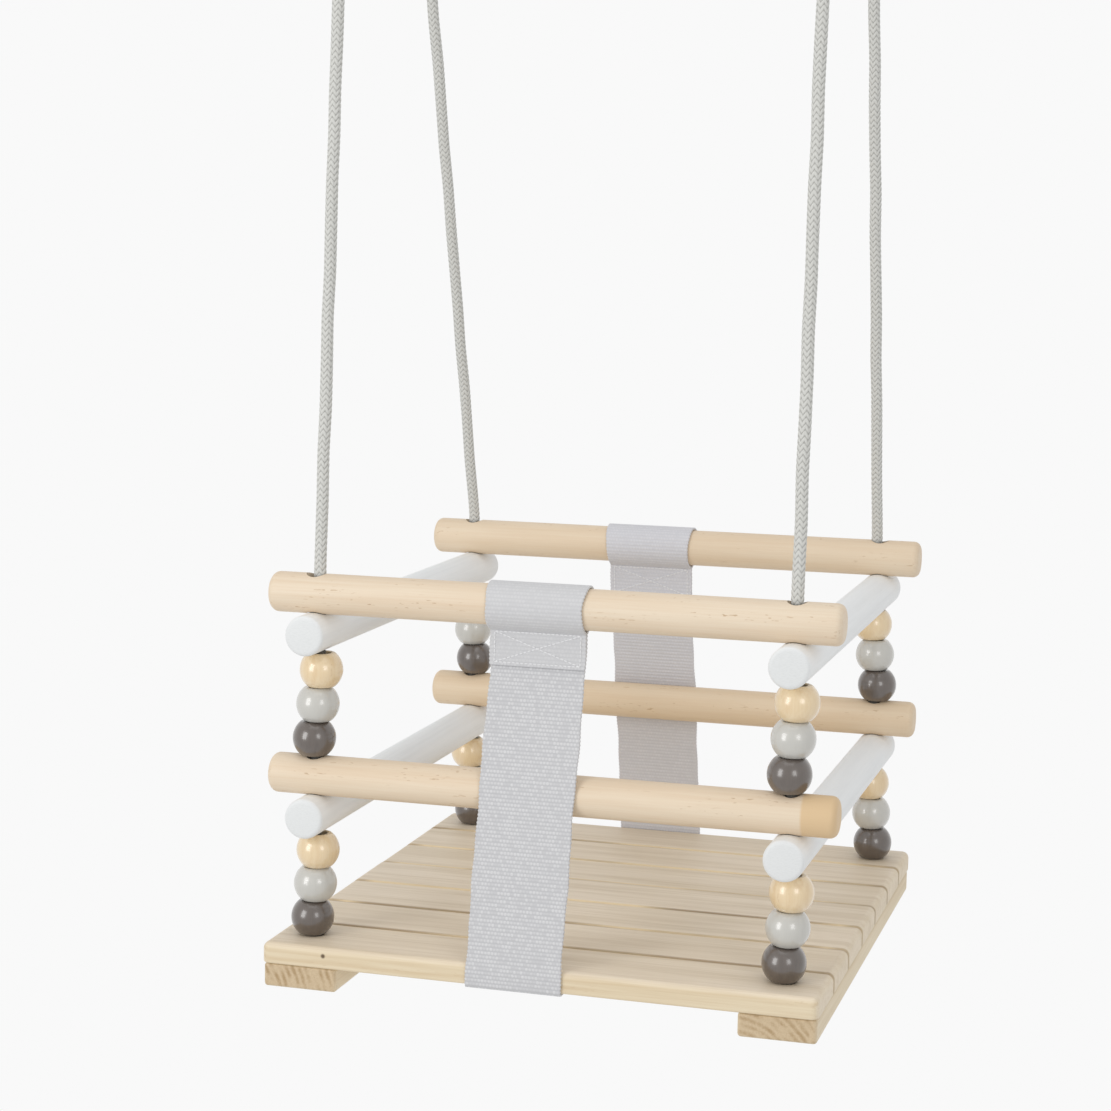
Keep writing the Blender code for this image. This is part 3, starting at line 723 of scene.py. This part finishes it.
# Ropes: four lengths of 7 mm braided cord, one at each corner. Each is stopped under the seat by a
# knot, goes up through slat, beads and rods, and runs taut to a tied loop round the ring's wire.
ROPE_RADIUS = 0.0035
ROPE_PLAY = ROPE_HOLE - ROPE_RADIUS - GAP
ROPE_AROUND = 60
ROPE_STEP = 0.0006
ROPE_WAVE = 0.0003
TAUT_PARTS = 24
INSIDE_SHADE_FADE = 0.003
RING_WIRE = 0.007
EYE_SLACK = 0.0006
LOOP_KNOT_RADIUS = 0.010
LOOP_KNOT_LENGTH = 0.026
LOOP_KNOT_TURNS = 3.2
LOOP_KNOT_SPACE = 0.003
TAIL_LENGTH = 0.012
STOPPER_RADIUS = 0.0105
STOPPER_HEIGHT = BATTEN_SIZE[2] - GAP
STOPPER_TURNS = 2.0
BRAID_COLUMNS = 10
BRAID_PITCH = 0.0035
BRAID_DEPTH = 0.0006
BRAID_LEVEL = 0.6
BRAID_SLANT = 0.8
BRAID_SWAY = 0.06
BRAID_SWAY_PITCH = 0.035


def braid_finish():
    material, tree, shader = new_finish("braided_cord", Sheen_Weight=0.15)
    fibres = stretched_noise(tree, object_place(tree), (2600, 2600, 900))
    cord = blend_colours(tree, fibres, (0.61, 0.61, 0.58), (0.73, 0.73, 0.695))
    # Painted shade: the braid's grooves are painted darker than the strands' backs.
    raised = between(tree, attribute(tree, "strand"), 0.05, 0.70)
    colour = blend_colours(tree, raised, (0.35, 0.345, 0.325), cord)
    # Painted shade: the cord is painted dark below the cage's top, where it runs inside and between
    # the beads and rods.
    colour = blend_colours(tree, attribute(tree, "inside_shade"), colour, (0.13, 0.12, 0.105))
    lay_on(tree, shader, colour, spread(tree, fibres, 0.75, 0.95))
    raise_surface(tree, shader, fibres, 0.3, 0.0002)
    return material


def strand_height(angle, along):
    """Height of the braid, from nought in a groove to one on a strand's back: slanted stitches in
    upright columns that lean to the left and the right in turn."""
    sway = BRAID_SWAY * math.sin(along / BRAID_SWAY_PITCH)
    column = (angle / (2 * math.pi) + sway) % 1.0 * BRAID_COLUMNS
    share = column % 1.0
    slant = BRAID_SLANT if int(column) % 2 == 0 else -BRAID_SLANT
    stitch = abs(math.sin(math.pi * (along / BRAID_PITCH + slant * (share - 0.5))))
    return stitch**0.7 * (0.6 + 0.4 * math.sin(math.pi * share) ** 0.7)


def eased_route(points, step=ROPE_STEP, rounds=60):
    """The same route with a point every step and its corners eased as a cord eases them."""
    fine = [points[0].copy()]
    for first, second in zip(points, points[1:]):
        count = max(1, round((second - first).length / step))
        fine += [first.lerp(second, i / count) for i in range(1, count + 1)]
    for _ in range(rounds):
        fine[1:-1] = [(a + b + b + c) / 4 for a, b, c in zip(fine, fine[1:], fine[2:])]
    return fine


def close_sheet(bm, sheet, reach):
    """Joins the sides of a rolled or folded sheet, and closes its two ends."""
    bmesh.ops.remove_doubles(bm, verts=sheet, dist=reach)
    bmesh.ops.holes_fill(bm, edges=[e for e in bm.edges if e.is_boundary], sides=0)
    bmesh.ops.recalc_face_normals(bm, faces=bm.faces)


def braided_sleeve(bm, route, strand, radius=ROPE_RADIUS):
    """A flat braid rolled round a route: a grid whose rows follow it and whose sides meet."""
    last = len(route) - 1
    grid = bmesh.ops.create_grid(bm, x_segments=ROPE_AROUND, y_segments=last, size=0.5)
    across = Vector((1, 0, 0))
    if abs((route[1] - route[0]).normalized().x) > 0.9:
        across = Vector((0, 0, 1))
    rows = []
    travelled = 0.0
    for index, point in enumerate(route):
        ahead = (route[min(index + 1, last)] - route[max(index - 1, 0)]).normalized()
        across = (across - ahead * across.dot(ahead)).normalized()
        travelled += (point - route[index - 1]).length if index else 0.0
        rows.append((point, across, ahead.cross(across), travelled))
    for vert in grid["verts"]:
        angle = (vert.co.x + 0.5) % 1.0 * 2 * math.pi
        point, right, up, along = rows[round((vert.co.y + 0.5) * last)]
        height = strand_height(angle, along)
        vert[strand] = height
        reach = radius + BRAID_DEPTH * (height - BRAID_LEVEL)
        vert.co = point + (right * math.cos(angle) + up * math.sin(angle)) * reach
    close_sheet(bm, grid["verts"], 1e-5)


def coil(radius, low, high, turns, start=0.0):
    """Turns of a knot about an upright axis, from the bottom up."""
    count = int(turns * 40)
    points = []
    for i in range(count + 1):
        angle = start + 2 * math.pi * turns * i / count
        height = low + (high - low) * i / count
        points.append(Vector((radius * math.cos(angle), radius * math.sin(angle), height)))
    return points


def rope_x(x_sign, y_sign, height):
    """The front left and back right ropes cross over to the inner side of their upper holes."""
    rest = -x_sign * ROPE_PLAY if x_sign == y_sign else 0.0
    share = (height - LOWER_BEECH_Z) / (UPPER_WHITE_Z - LOWER_BEECH_Z)
    return x_sign * COLUMN_X + rest * clamped(share)


def leg_angle(y_sign):
    return math.atan2(y_sign * COLUMN_Y + HANG_FORWARD, HANG_HEIGHT - CAGE_TOP)


def eye_x(x_sign, y_sign):
    """The loops of one side hang beside each other on the ring's wire."""
    return x_sign * COLUMN_X + y_sign * (ROPE_RADIUS + GAP)


LEG_SPREAD = math.sin(leg_angle(1)) - math.sin(leg_angle(-1))
EYE_LENGTH = (2 * LOOP_KNOT_RADIUS + LOOP_KNOT_SPACE) / LEG_SPREAD


def rope_route(x_sign, y_sign):
    """From the stopper knot up through seat, beads and rods, then straight to the loop's knot."""
    y = y_sign * COLUMN_Y
    heights = (-SLAT_SIZE[2], LOWER_WHITE_Z, LOWER_BEECH_Z, UPPER_WHITE_Z)
    upright = [Vector((rope_x(x_sign, y_sign, h), y, h)) for h in heights]
    lean = leg_angle(y_sign)
    down = EYE_LENGTH + LOOP_KNOT_LENGTH + GAP
    knot_y = math.sin(lean) * down - HANG_FORWARD
    knot = Vector((eye_x(x_sign, y_sign), knot_y, HANG_HEIGHT - math.cos(lean) * down))
    corner = Vector((rope_x(x_sign, y_sign, CAGE_TOP), y, CAGE_TOP + ROPE_RADIUS))
    bend_end = corner + (knot - corner).normalized() * 4 * ROPE_RADIUS
    bend_start = corner - Vector((0, 0, 2 * ROPE_RADIUS))
    bend = interpolate_bezier(bend_start, corner, corner, bend_end, 5)
    taut = [bend_end.lerp(knot, i / TAUT_PARTS) for i in range(1, TAUT_PARTS + 1)]
    for i, point in enumerate(taut[:-1]):
        sideways = math.sin(2.3 * i + 3 * x_sign + y_sign)
        point += ROPE_WAVE * Vector((sideways, math.sin(1.7 * i + 2 * x_sign), 0))
    return upright + bend + taut


def stopper_knot():
    """Two turns round the rope's own end, which comes out at the bottom cut and sealed."""
    bm = bmesh.new()
    strand = bm.verts.layers.float.new("strand")
    half = STOPPER_HEIGHT / 2
    reach = half - ROPE_RADIUS
    turns = coil(STOPPER_RADIUS - ROPE_RADIUS, -reach, reach, STOPPER_TURNS)
    braided_sleeve(bm, eased_route(turns, rounds=4), strand)
    core = [Vector((0, 0, half)), Vector((0, 0, 0.001 - half))]
    braided_sleeve(bm, eased_route(core, rounds=0), strand)
    return bm


def loop_knot(tail_turn):
    """A loop over the ring's wire, its legs gathered by a few turns, with the rope's tail below."""
    bm = bmesh.new()
    strand = bm.verts.layers.float.new("strand")
    radius = RING_WIRE / 2 + EYE_SLACK + ROPE_RADIUS
    low = -EYE_LENGTH - LOOP_KNOT_LENGTH
    narrow = 0.6 * ROPE_RADIUS
    leg = [
        Vector((0, narrow, low)),
        Vector((0, narrow, -EYE_LENGTH)),
        Vector((0, 0.8 * radius, -1.6 * radius)),
    ]
    angles = [i * math.pi / 24 for i in range(25)]
    over = [Vector((0, radius * math.cos(a), radius * math.sin(a))) for a in angles]
    route = leg + over + [Vector((p.x, -p.y, p.z)) for p in reversed(leg)]
    braided_sleeve(bm, eased_route(route, rounds=20), strand)
    wound = coil(
        LOOP_KNOT_RADIUS - ROPE_RADIUS,
        low + ROPE_RADIUS,
        -EYE_LENGTH - ROPE_RADIUS,
        LOOP_KNOT_TURNS,
        tail_turn,
    )
    braided_sleeve(bm, eased_route(wound, rounds=4), strand)
    root = wound[0] + Vector((0, 0, -0.001))
    tip = wound[0] * 0.97 + Vector((0, 0, -TAIL_LENGTH))
    tail = eased_route([root, root.lerp(tip, 0.3), tip], rounds=8)
    braided_sleeve(bm, tail, strand, 0.95 * ROPE_RADIUS)
    return bm


braid = braid_finish()
for end, y_sign in ENDS:
    for side, x_sign in SIDES:
        corner = f"{end}_{side}"
        under_seat = (x_sign * COLUMN_X, y_sign * COLUMN_Y, BATTEN_TOP - STOPPER_HEIGHT / 2)
        stopper_turn = Matrix.Rotation(1.3 * x_sign + y_sign, 4, "Z")
        stopper = fit_piece(
            f"stopper_{corner}",
            stopper_knot(),
            braid,
            (f"stopper_knot_{corner}",),
            SEAT @ Matrix.Translation(under_seat) @ stopper_turn,
        )
        eye = (eye_x(x_sign, y_sign), -HANG_FORWARD, HANG_HEIGHT)
        loop = fit_piece(
            f"loop_{corner}",
            loop_knot(1.9 * x_sign),
            braid,
            (f"loop_knot_{corner}",),
            SEAT @ Matrix.Translation(eye) @ Matrix.Rotation(leg_angle(y_sign), 4, "X"),
        )
        sleeve = bmesh.new()
        strand = sleeve.verts.layers.float.new("strand")
        route = eased_route(rope_route(x_sign, y_sign))
        braided_sleeve(sleeve, route, strand)
        # The cord's painted shade inside the cage, fading in just below the cage's top.
        inside_shade = sleeve.verts.layers.float.new("inside_shade")
        for vert in sleeve.verts:
            vert[inside_shade] = clamped((CAGE_TOP - vert.co.z) / INSIDE_SHADE_FADE)
        cord = fit_piece(f"cord_{corner}", sleeve, braid, (f"rope_{corner}",))

# Strap: one length of ribbed webbing, 58 mm wide. It is sewn in a loop round the upper front rod,
# passes in front of the lower one, under the seat and up the back, and is sewn to the upper back
# rod. It is pressed smooth where it is sewn and all the way up the back. The back half is also
# painted lighter, standing in for light that reaches it, and a little bluer.
STRAP_HALF_WIDTH = 0.0288
STRAP_THICKNESS = 0.0018
STRAP_OFFSET = -0.0105
STRAP_LEAN = math.tan(math.radians(1.2))
LEAN_FADE = 0.1
THROAT_DROP = 0.002
SEWN_LENGTH = 0.021
STRAP_THROAT = UPPER_BEECH_Z - ROD_RADIUS - GAP - THROAT_DROP
STRAP_TAIL = STRAP_THROAT - SEWN_LENGTH
LOOP_SPREAD = 0.0013
RIB_PITCH = 0.00233
RIB_HEIGHT = 0.00007
RIB_ROWS = 6
RIB_ROOM = 0.0002
SELVEDGE_TEETH = 0.0002
DOT_PITCH = 0.00202
STRAP_STEP = RIB_PITCH / RIB_ROWS
SEWN_FADE = 0.002
BACK_FADE = 0.04


def arches(tree, value):
    """A row of round backs, one to each whole step of the value."""
    return maths(tree, "ABSOLUTE", maths(tree, "SINE", times(tree, value, math.pi)))


def webbing_finish():
    material, tree, shader = new_finish("ribbed_webbing", Sheen_Weight=0.2)
    weave = attribute(tree, "weave", "Vector")
    place = add_node(tree, "ShaderNodeSeparateXYZ", {0: weave}).outputs
    row = times(tree, place["Y"], 1 / RIB_PITCH)
    odd = maths(tree, "GREATER_THAN", maths(tree, "MODULO", row, 2.0), 1.0)
    column = maths(tree, "ADD", times(tree, place["X"], 1 / DOT_PITCH), times(tree, odd, 0.5))
    floors = {0: maths(tree, "FLOOR", column), 1: maths(tree, "FLOOR", row)}
    cell = add_node(tree, "ShaderNodeCombineXYZ", floors).outputs[0]
    chance = add_node(tree, "ShaderNodeTexWhiteNoise", {"Vector": cell}).outputs["Value"]
    dots = times(tree, arches(tree, column), spread(tree, chance, 0.1, 1.0))
    knots = maths(tree, "ADD", times(tree, dots, 0.75), 0.25)
    yarn = times(tree, arches(tree, row), knots)
    fuzz = stretched_noise(tree, weave, (900, 900, 900))
    pale = blend_colours(tree, fuzz, (0.60, 0.60, 0.61), (0.79, 0.79, 0.80))
    # The weave's own pattern of ribs and dots, with painted shade in the grooves between the ribs.
    woven = blend_colours(tree, between(tree, yarn, 0.0, 0.75), (0.545, 0.545, 0.56), pale)
    # Painted light: the back half is painted lighter, standing in for light that reaches it, and a
    # little bluer.
    back_light_and_tint = attribute(tree, "back_light_and_tint")
    smooth = blend_colours(tree, back_light_and_tint, (0.645, 0.645, 0.655), (0.69, 0.685, 0.73))
    pressed = times(tree, attribute(tree, "pressed"), 0.6)
    colour = blend_colours(tree, pressed, woven, smooth)
    lay_on(tree, shader, colour, spread(tree, fuzz, 0.72, 0.95))
    raise_surface(tree, shader, yarn, 0.2, 0.0003)
    return material


def arc(centre, radius, start, end):
    steps = max(1, math.ceil(abs(end - start) * radius / STRAP_STEP))
    angles = [start + (end - start) * i / steps for i in range(steps + 1)]
    y, z = centre
    return [Vector((0, y + radius * math.cos(a), z + radius * math.sin(a))) for a in angles]


def drawn_tight(rounds, offset):
    """Side view of a strap drawn tight round a row of rounds, all of them on its left."""
    turns = []
    for ((y1, z1), r1), ((y2, z2), r2) in zip(rounds, rounds[1:]):
        y, z = y2 - y1, z2 - z1
        turns.append(math.atan2(z, y) - math.asin((r2 - r1) / math.hypot(y, z)))
    points = []
    for (centre, radius), arrive, leave in zip(rounds, turns[:1] + turns, turns + turns[-1:]):
        points += arc(centre, radius + offset, arrive - math.pi / 2, leave - math.pi / 2)
    return points


def strap_route():
    """The webbing's middle line in side view, from its front tail to its back tail."""
    half = STRAP_THICKNESS / 2
    rod = ROD_RADIUS + GAP
    lower_edge_z = SLAT_LOWER_ROUND - SLAT_SIZE[2]
    front = [
        ((-COLUMN_Y + STRAP_THICKNESS, STRAP_TAIL), 0.0),
        ((-COLUMN_Y, LOWER_BEECH_Z), rod),
        ((-SEAT_FRONT + SLAT_ROUND, -SLAT_ROUND), SLAT_ROUND + GAP),
        ((-SEAT_FRONT + SLAT_LOWER_ROUND, lower_edge_z), SLAT_LOWER_ROUND + GAP),
    ]
    back = [((-centre[0], centre[1]), radius) for centre, radius in reversed(front)]
    drop = UPPER_BEECH_Z - STRAP_THROAT
    wound = rod + half
    tangent = math.atan2(-drop, half) + math.acos(wound / math.hypot(half, drop))
    loops = []
    for y in (-COLUMN_Y, COLUMN_Y):
        throat = [Vector((0, y - half, STRAP_THROAT)), Vector((0, y + half, STRAP_THROAT))]
        over = arc((y, UPPER_BEECH_Z), wound, math.pi - tangent, tangent)
        loops.append(throat[:1] + over + throat[1:])
    tails = [Vector((0, y, STRAP_TAIL)) for y in (-COLUMN_Y - half, COLUMN_Y + half)]
    under = drawn_tight(front + back, half)
    route = tails[:1] + loops[0] + under + loops[1] + tails[1:]
    fine = eased_route(route, STRAP_STEP, 5)
    reached = [0.0]
    for first, second in zip(fine, fine[1:]):
        reached.append(reached[-1] + (second - first).length)
    rows = RIB_ROWS * round(reached[-1] / RIB_PITCH)
    even = []
    for row in range(rows + 1):
        along = reached[-1] * row / rows
        index = clamped(bisect.bisect_right(reached, along) - 1, 0, len(fine) - 2)
        share = (along - reached[index]) / (reached[index + 1] - reached[index])
        even.append(fine[index].lerp(fine[index + 1], share))
    return even, reached[-1]


def strap_middle(point):
    """How far right the strap's middle lies: its front and back halves lean opposite ways."""
    return STRAP_OFFSET - clamped(point.y / LEAN_FADE, -1.0) * STRAP_LEAN * point.z


def strap_half_width(point):
    """Over the top of the rods the sewn loops are spread a little wider than the strap."""
    share = clamped((point.z - UPPER_BEECH_Z) / ROD_RADIUS)
    return STRAP_HALF_WIDTH + LOOP_SPREAD * share * share * (3 - 2 * share)


def woven_strap(route):
    """A grid with six rows to a rib, folded flat round the route and ribbed on both faces."""
    across = (-0.985, -0.75, -0.5, -0.25, 0.0, 0.25, 0.5, 0.75, 0.985)
    section = [(side, 1) for side in across] + [(1, 0)]
    section += [(-side, -1) for side in across] + [(-1, 0)]
    around, last = len(section), len(route) - 1
    bm = bmesh.new()
    bm.verts.layers.float_vector.new("weave")
    pressed, back_light_and_tint = new_marks(bm, "pressed", "back_light_and_tint")
    weave = bm.verts.layers.float_vector["weave"]
    for vert in bmesh.ops.create_grid(bm, x_segments=around, y_segments=last, size=0.5)["verts"]:
        row = round((vert.co.y + 0.5) * last)
        share, face = section[round((vert.co.x + 0.5) * around) % around]
        point = route[row]
        ahead = (route[min(row + 2, last)] - route[max(row - 2, 0)]).normalized()
        rib = math.cos(2 * math.pi * row / RIB_ROWS)
        teeth = SELVEDGE_TEETH * rib if abs(share) > 0.9 else 0.0
        wander = 0.0003 * math.sin(row / 31) + 0.0002 * math.sin(row / 11)
        side = share * (strap_half_width(point) - teeth + wander)
        out = face * (STRAP_THICKNESS / 2 - RIB_ROOM - RIB_HEIGHT * rib)
        vert[weave] = (side, row * STRAP_STEP, 0.0)
        # The back half's share, which is painted lighter as a stand-in for light, and a little
        # bluer.
        vert[back_light_and_tint] = clamped(0.5 + point.y / BACK_FADE)
        vert[pressed] = max(vert[back_light_and_tint], clamped((point.z - STRAP_TAIL) / SEWN_FADE))
        vert.co = point + Vector((strap_middle(point) + side, ahead.z * out, -ahead.y * out))
    close_sheet(bm, bm.verts, 1e-6)
    return bm


strap_line, strap_length = strap_route()
woven = woven_strap(strap_line)
strap = fit_piece("woven_strap", woven, webbing_finish(), ("strap",))

# Stitching: each sewn loop is held by a box of stitches with a cross in it, in a paler thread that
# stands a little proud of the webbing on both faces.
THREAD_RADIUS = 0.00040
STITCH_PITCH = 0.0026
STITCH_HALF_LENGTH = 0.52 * STITCH_PITCH
BOX_HALF_WIDTH = 0.0258
BOX_TOP = STRAP_THROAT - 0.001
BOX_BOTTOM = STRAP_TAIL + 0.002


def thread_finish():
    material, tree, shader = new_finish("pale_thread")
    twist = stretched_noise(tree, object_place(tree), (1800, 1800, 1800), 2.0)
    colour = blend_colours(tree, twist, (0.79, 0.79, 0.80), (0.89, 0.89, 0.90))
    lay_on(tree, shader, colour, spread(tree, twist, 0.55, 0.8))
    return material


def stitch_row(bm, first, second):
    """A row of stitches: short lengths of thread with their ends drawn into the cloth."""
    count = max(1, round((second - first).length / STITCH_PITCH))
    turn = (second - first).normalized().to_track_quat("X", "Y").to_matrix().to_4x4()
    size = Matrix.Diagonal((STITCH_HALF_LENGTH, THREAD_RADIUS, THREAD_RADIUS, 1.0))
    for index in range(count):
        middle = Matrix.Translation(first.lerp(second, (index + 0.5) / count))
        bmesh.ops.create_icosphere(bm, subdivisions=1, radius=1.0, matrix=middle @ turn @ size)


stitches = bmesh.new()
for y_sign in (-1, 1):
    for face in (y_sign * STRAP_THICKNESS, -y_sign * STRAP_THICKNESS):
        y = y_sign * COLUMN_Y + face
        corners = []
        for side, z in ((-1, BOX_TOP), (1, BOX_TOP), (1, BOX_BOTTOM), (-1, BOX_BOTTOM)):
            x = strap_middle(Vector((0, y, z))) + side * BOX_HALF_WIDTH
            corners.append(Vector((x, y, z)))
        for first, second in ((0, 1), (1, 2), (2, 3), (3, 0), (0, 2), (1, 3)):
            stitch_row(stitches, corners[first], corners[second])
stitching = fit_piece("strap_stitching", stitches, thread_finish())

# Rings: two rings of 7 mm plated steel wire, bent round and welded. Each hangs from a hook and
# carries the front and the back rope of one side.
RING_RADIUS = 0.0265
RING_CENTRE_Z = RING_WIRE / 2 - RING_RADIUS
WELD_REACH = 0.07
WELD_RISE = 0.07


def steel_finish():
    material, tree, shader = new_finish("plated_steel", Metallic=1.0)
    place = object_place(tree)
    clouds = stretched_noise(tree, place, (180, 180, 180), 4.0)
    scuffs = stretched_noise(tree, place, (1400, 1400, 300), 2.0)
    colour = blend_colours(tree, clouds, (0.36, 0.37, 0.39), (0.50, 0.51, 0.53))
    lay_on(tree, shader, colour, spread(tree, scuffs, 0.2, 0.45))
    raise_surface(tree, shader, scuffs, 0.1, 0.0001)
    return material


def welded_ring():
    """A round of wire spun into a ring, raised where the weld was dressed."""
    bm = bmesh.new()
    centre = (RING_RADIUS, 0, 0)
    at_rim = Matrix.Translation(centre)
    circle = bmesh.ops.create_circle(bm, segments=24, radius=RING_WIRE / 2, matrix=at_rim)
    wire = circle["verts"]
    rim = list({e for v in wire for e in v.link_edges})
    upright = Matrix.Rotation(math.pi / 2, 3, "X")
    bmesh.ops.rotate(bm, cent=centre, matrix=upright, verts=wire)
    spin_round(bm, wire + rim, 96)
    for vert in bm.verts:
        angle = math.atan2(vert.co.y, vert.co.x)
        middle = Vector((RING_RADIUS * math.cos(angle), RING_RADIUS * math.sin(angle), 0))
        weld = math.exp(-((abs(angle) / WELD_REACH) ** 2)) * (0.8 + 0.2 * math.cos(60 * angle))
        vert.co = middle + (vert.co - middle) * (1 + WELD_RISE * weld)
    return bm


steel = steel_finish()
for side, x_sign in SIDES:
    centre = Matrix.Translation((x_sign * COLUMN_X, 0, RING_CENTRE_Z))
    place = centre @ Matrix.Rotation(math.pi / 2, 4, "X")
    name = f"ring_{side}"
    fit_piece(f"{name}_wire", welded_ring(), steel, (name,), place, body="hangers")

# Studio: a pale round of floor below the swing, which fades into the background, three soft boxes
# at the front left, at the front right and overhead, and even light from all round.
SEAT_MIDDLE = SEAT @ Vector((0, 0, 0.1))
FLOOR_DROP = 0.42
FLOOR_CENTRE = (0, SEAT_MIDDLE.y, cad_box[0].z - FLOOR_DROP)
FLOOR_RADIUS = 0.61
FLOOR_GREY = (0.80, 0.80, 0.80, 1)
FADE_START = 0.30
FADE_END = 0.60
BACKGROUND = (0.947, 0.947, 0.947)
ROUND_LIGHT = (0.62, 0.62, 0.62)


def floor_finish():
    material, tree, shader = new_finish(
        "pale_floor",
        Roughness=0.9,
        Base_Color=FLOOR_GREY,
        Emission_Color=(*BACKGROUND, 1),
        Emission_Strength=0.25,
    )
    inputs = {
        "Value": distance_from(tree, FLOOR_CENTRE),
        "From Min": FADE_START,
        "From Max": FADE_END,
        "To Min": 1.0,
        "To Max": 0.0,
    }
    fade = add_node(tree, "ShaderNodeMapRange", inputs)
    tree.links.new(fade.outputs[0], shader["Alpha"])
    return material


ground = bmesh.new()
bmesh.ops.create_circle(
    ground, cap_ends=True, segments=64, radius=FLOOR_RADIUS, matrix=Matrix.Translation(FLOOR_CENTRE)
)
floor_mesh = bpy.data.meshes.new("floor")
ground.to_mesh(floor_mesh)
ground.free()
floor_mesh.materials.append(floor_finish())
floor = bpy.data.objects.new("floor", floor_mesh)
bpy.context.scene.collection.objects.link(floor)

world = bpy.data.worlds.new("studio")
world.use_nodes = True
bpy.context.scene.world = world
sky = world.node_tree
ray = add_node(sky, "ShaderNodeLightPath").outputs
mirrored = maths(sky, "MAXIMUM", ray["Is Glossy Ray"], ray["Is Transmission Ray"])
seen = maths(sky, "MAXIMUM", ray["Is Camera Ray"], mirrored)
backdrop = blend_colours(sky, seen, ROUND_LIGHT, BACKGROUND)
sky.links.new(backdrop, sky.nodes["Background"].inputs["Color"])


def soft_box(name, azimuth, elevation, distance, size, watts):
    lamp = bpy.data.lights.new(name, "AREA")
    lamp.shape = "RECTANGLE"
    lamp.size, lamp.size_y = size
    lamp.energy = watts
    box = bpy.data.objects.new(name, lamp)
    around, up = math.radians(azimuth), math.radians(elevation)
    level = math.cos(up)
    towards = Vector((math.sin(around) * level, -math.cos(around) * level, math.sin(up)))
    turn = towards.to_track_quat("Z", "Y").to_matrix().to_4x4()
    box.matrix_world = Matrix.Translation(SEAT_MIDDLE + towards * distance) @ turn
    bpy.context.scene.collection.objects.link(box)


soft_box("soft_box_left", -35, 18, 2.0, (0.75, 1.1), 11.0)
soft_box("soft_box_right", 38, 20, 2.0, (0.6, 0.75), 4.6)
soft_box("soft_box_top", 10, 80, 1.9, (1.4, 1.4), 4.0)
bpy.context.scene.view_settings.view_transform = "Standard"

# Camera: a long lens a little above the seat and to the right of its middle, turned a little about
# its own axis. Its place is measured from the middle of the seat.
CAMERA_PLACE = (0.39084, -1.48769, 0.41927)
CAMERA_YAW, CAMERA_PITCH, CAMERA_ROLL = 0.2822, 0.1304, 0.0169
SENSOR_WIDTH = 36.0
PICTURE_PIXELS = 1111
FOCAL_PIXELS = 2458.95
forward = Vector(
    (
        -math.sin(CAMERA_YAW) * math.cos(CAMERA_PITCH),
        math.cos(CAMERA_YAW) * math.cos(CAMERA_PITCH),
        -math.sin(CAMERA_PITCH),
    )
)
level = forward.cross(Vector((0, 0, 1))).normalized()
upward = level.cross(forward)
right = level * math.cos(CAMERA_ROLL) + upward * math.sin(CAMERA_ROLL)
aim = Matrix((right, right.cross(forward), -forward)).transposed().to_4x4()
aim.translation = CAMERA_PLACE
lens = bpy.data.cameras.new("camera")
lens.sensor_width = SENSOR_WIDTH
lens.lens = SENSOR_WIDTH * FOCAL_PIXELS / PICTURE_PIXELS
camera = bpy.data.objects.new("camera", lens)
camera.matrix_world = SEAT @ aim
bpy.context.scene.collection.objects.link(camera)
bpy.context.scene.camera = camera
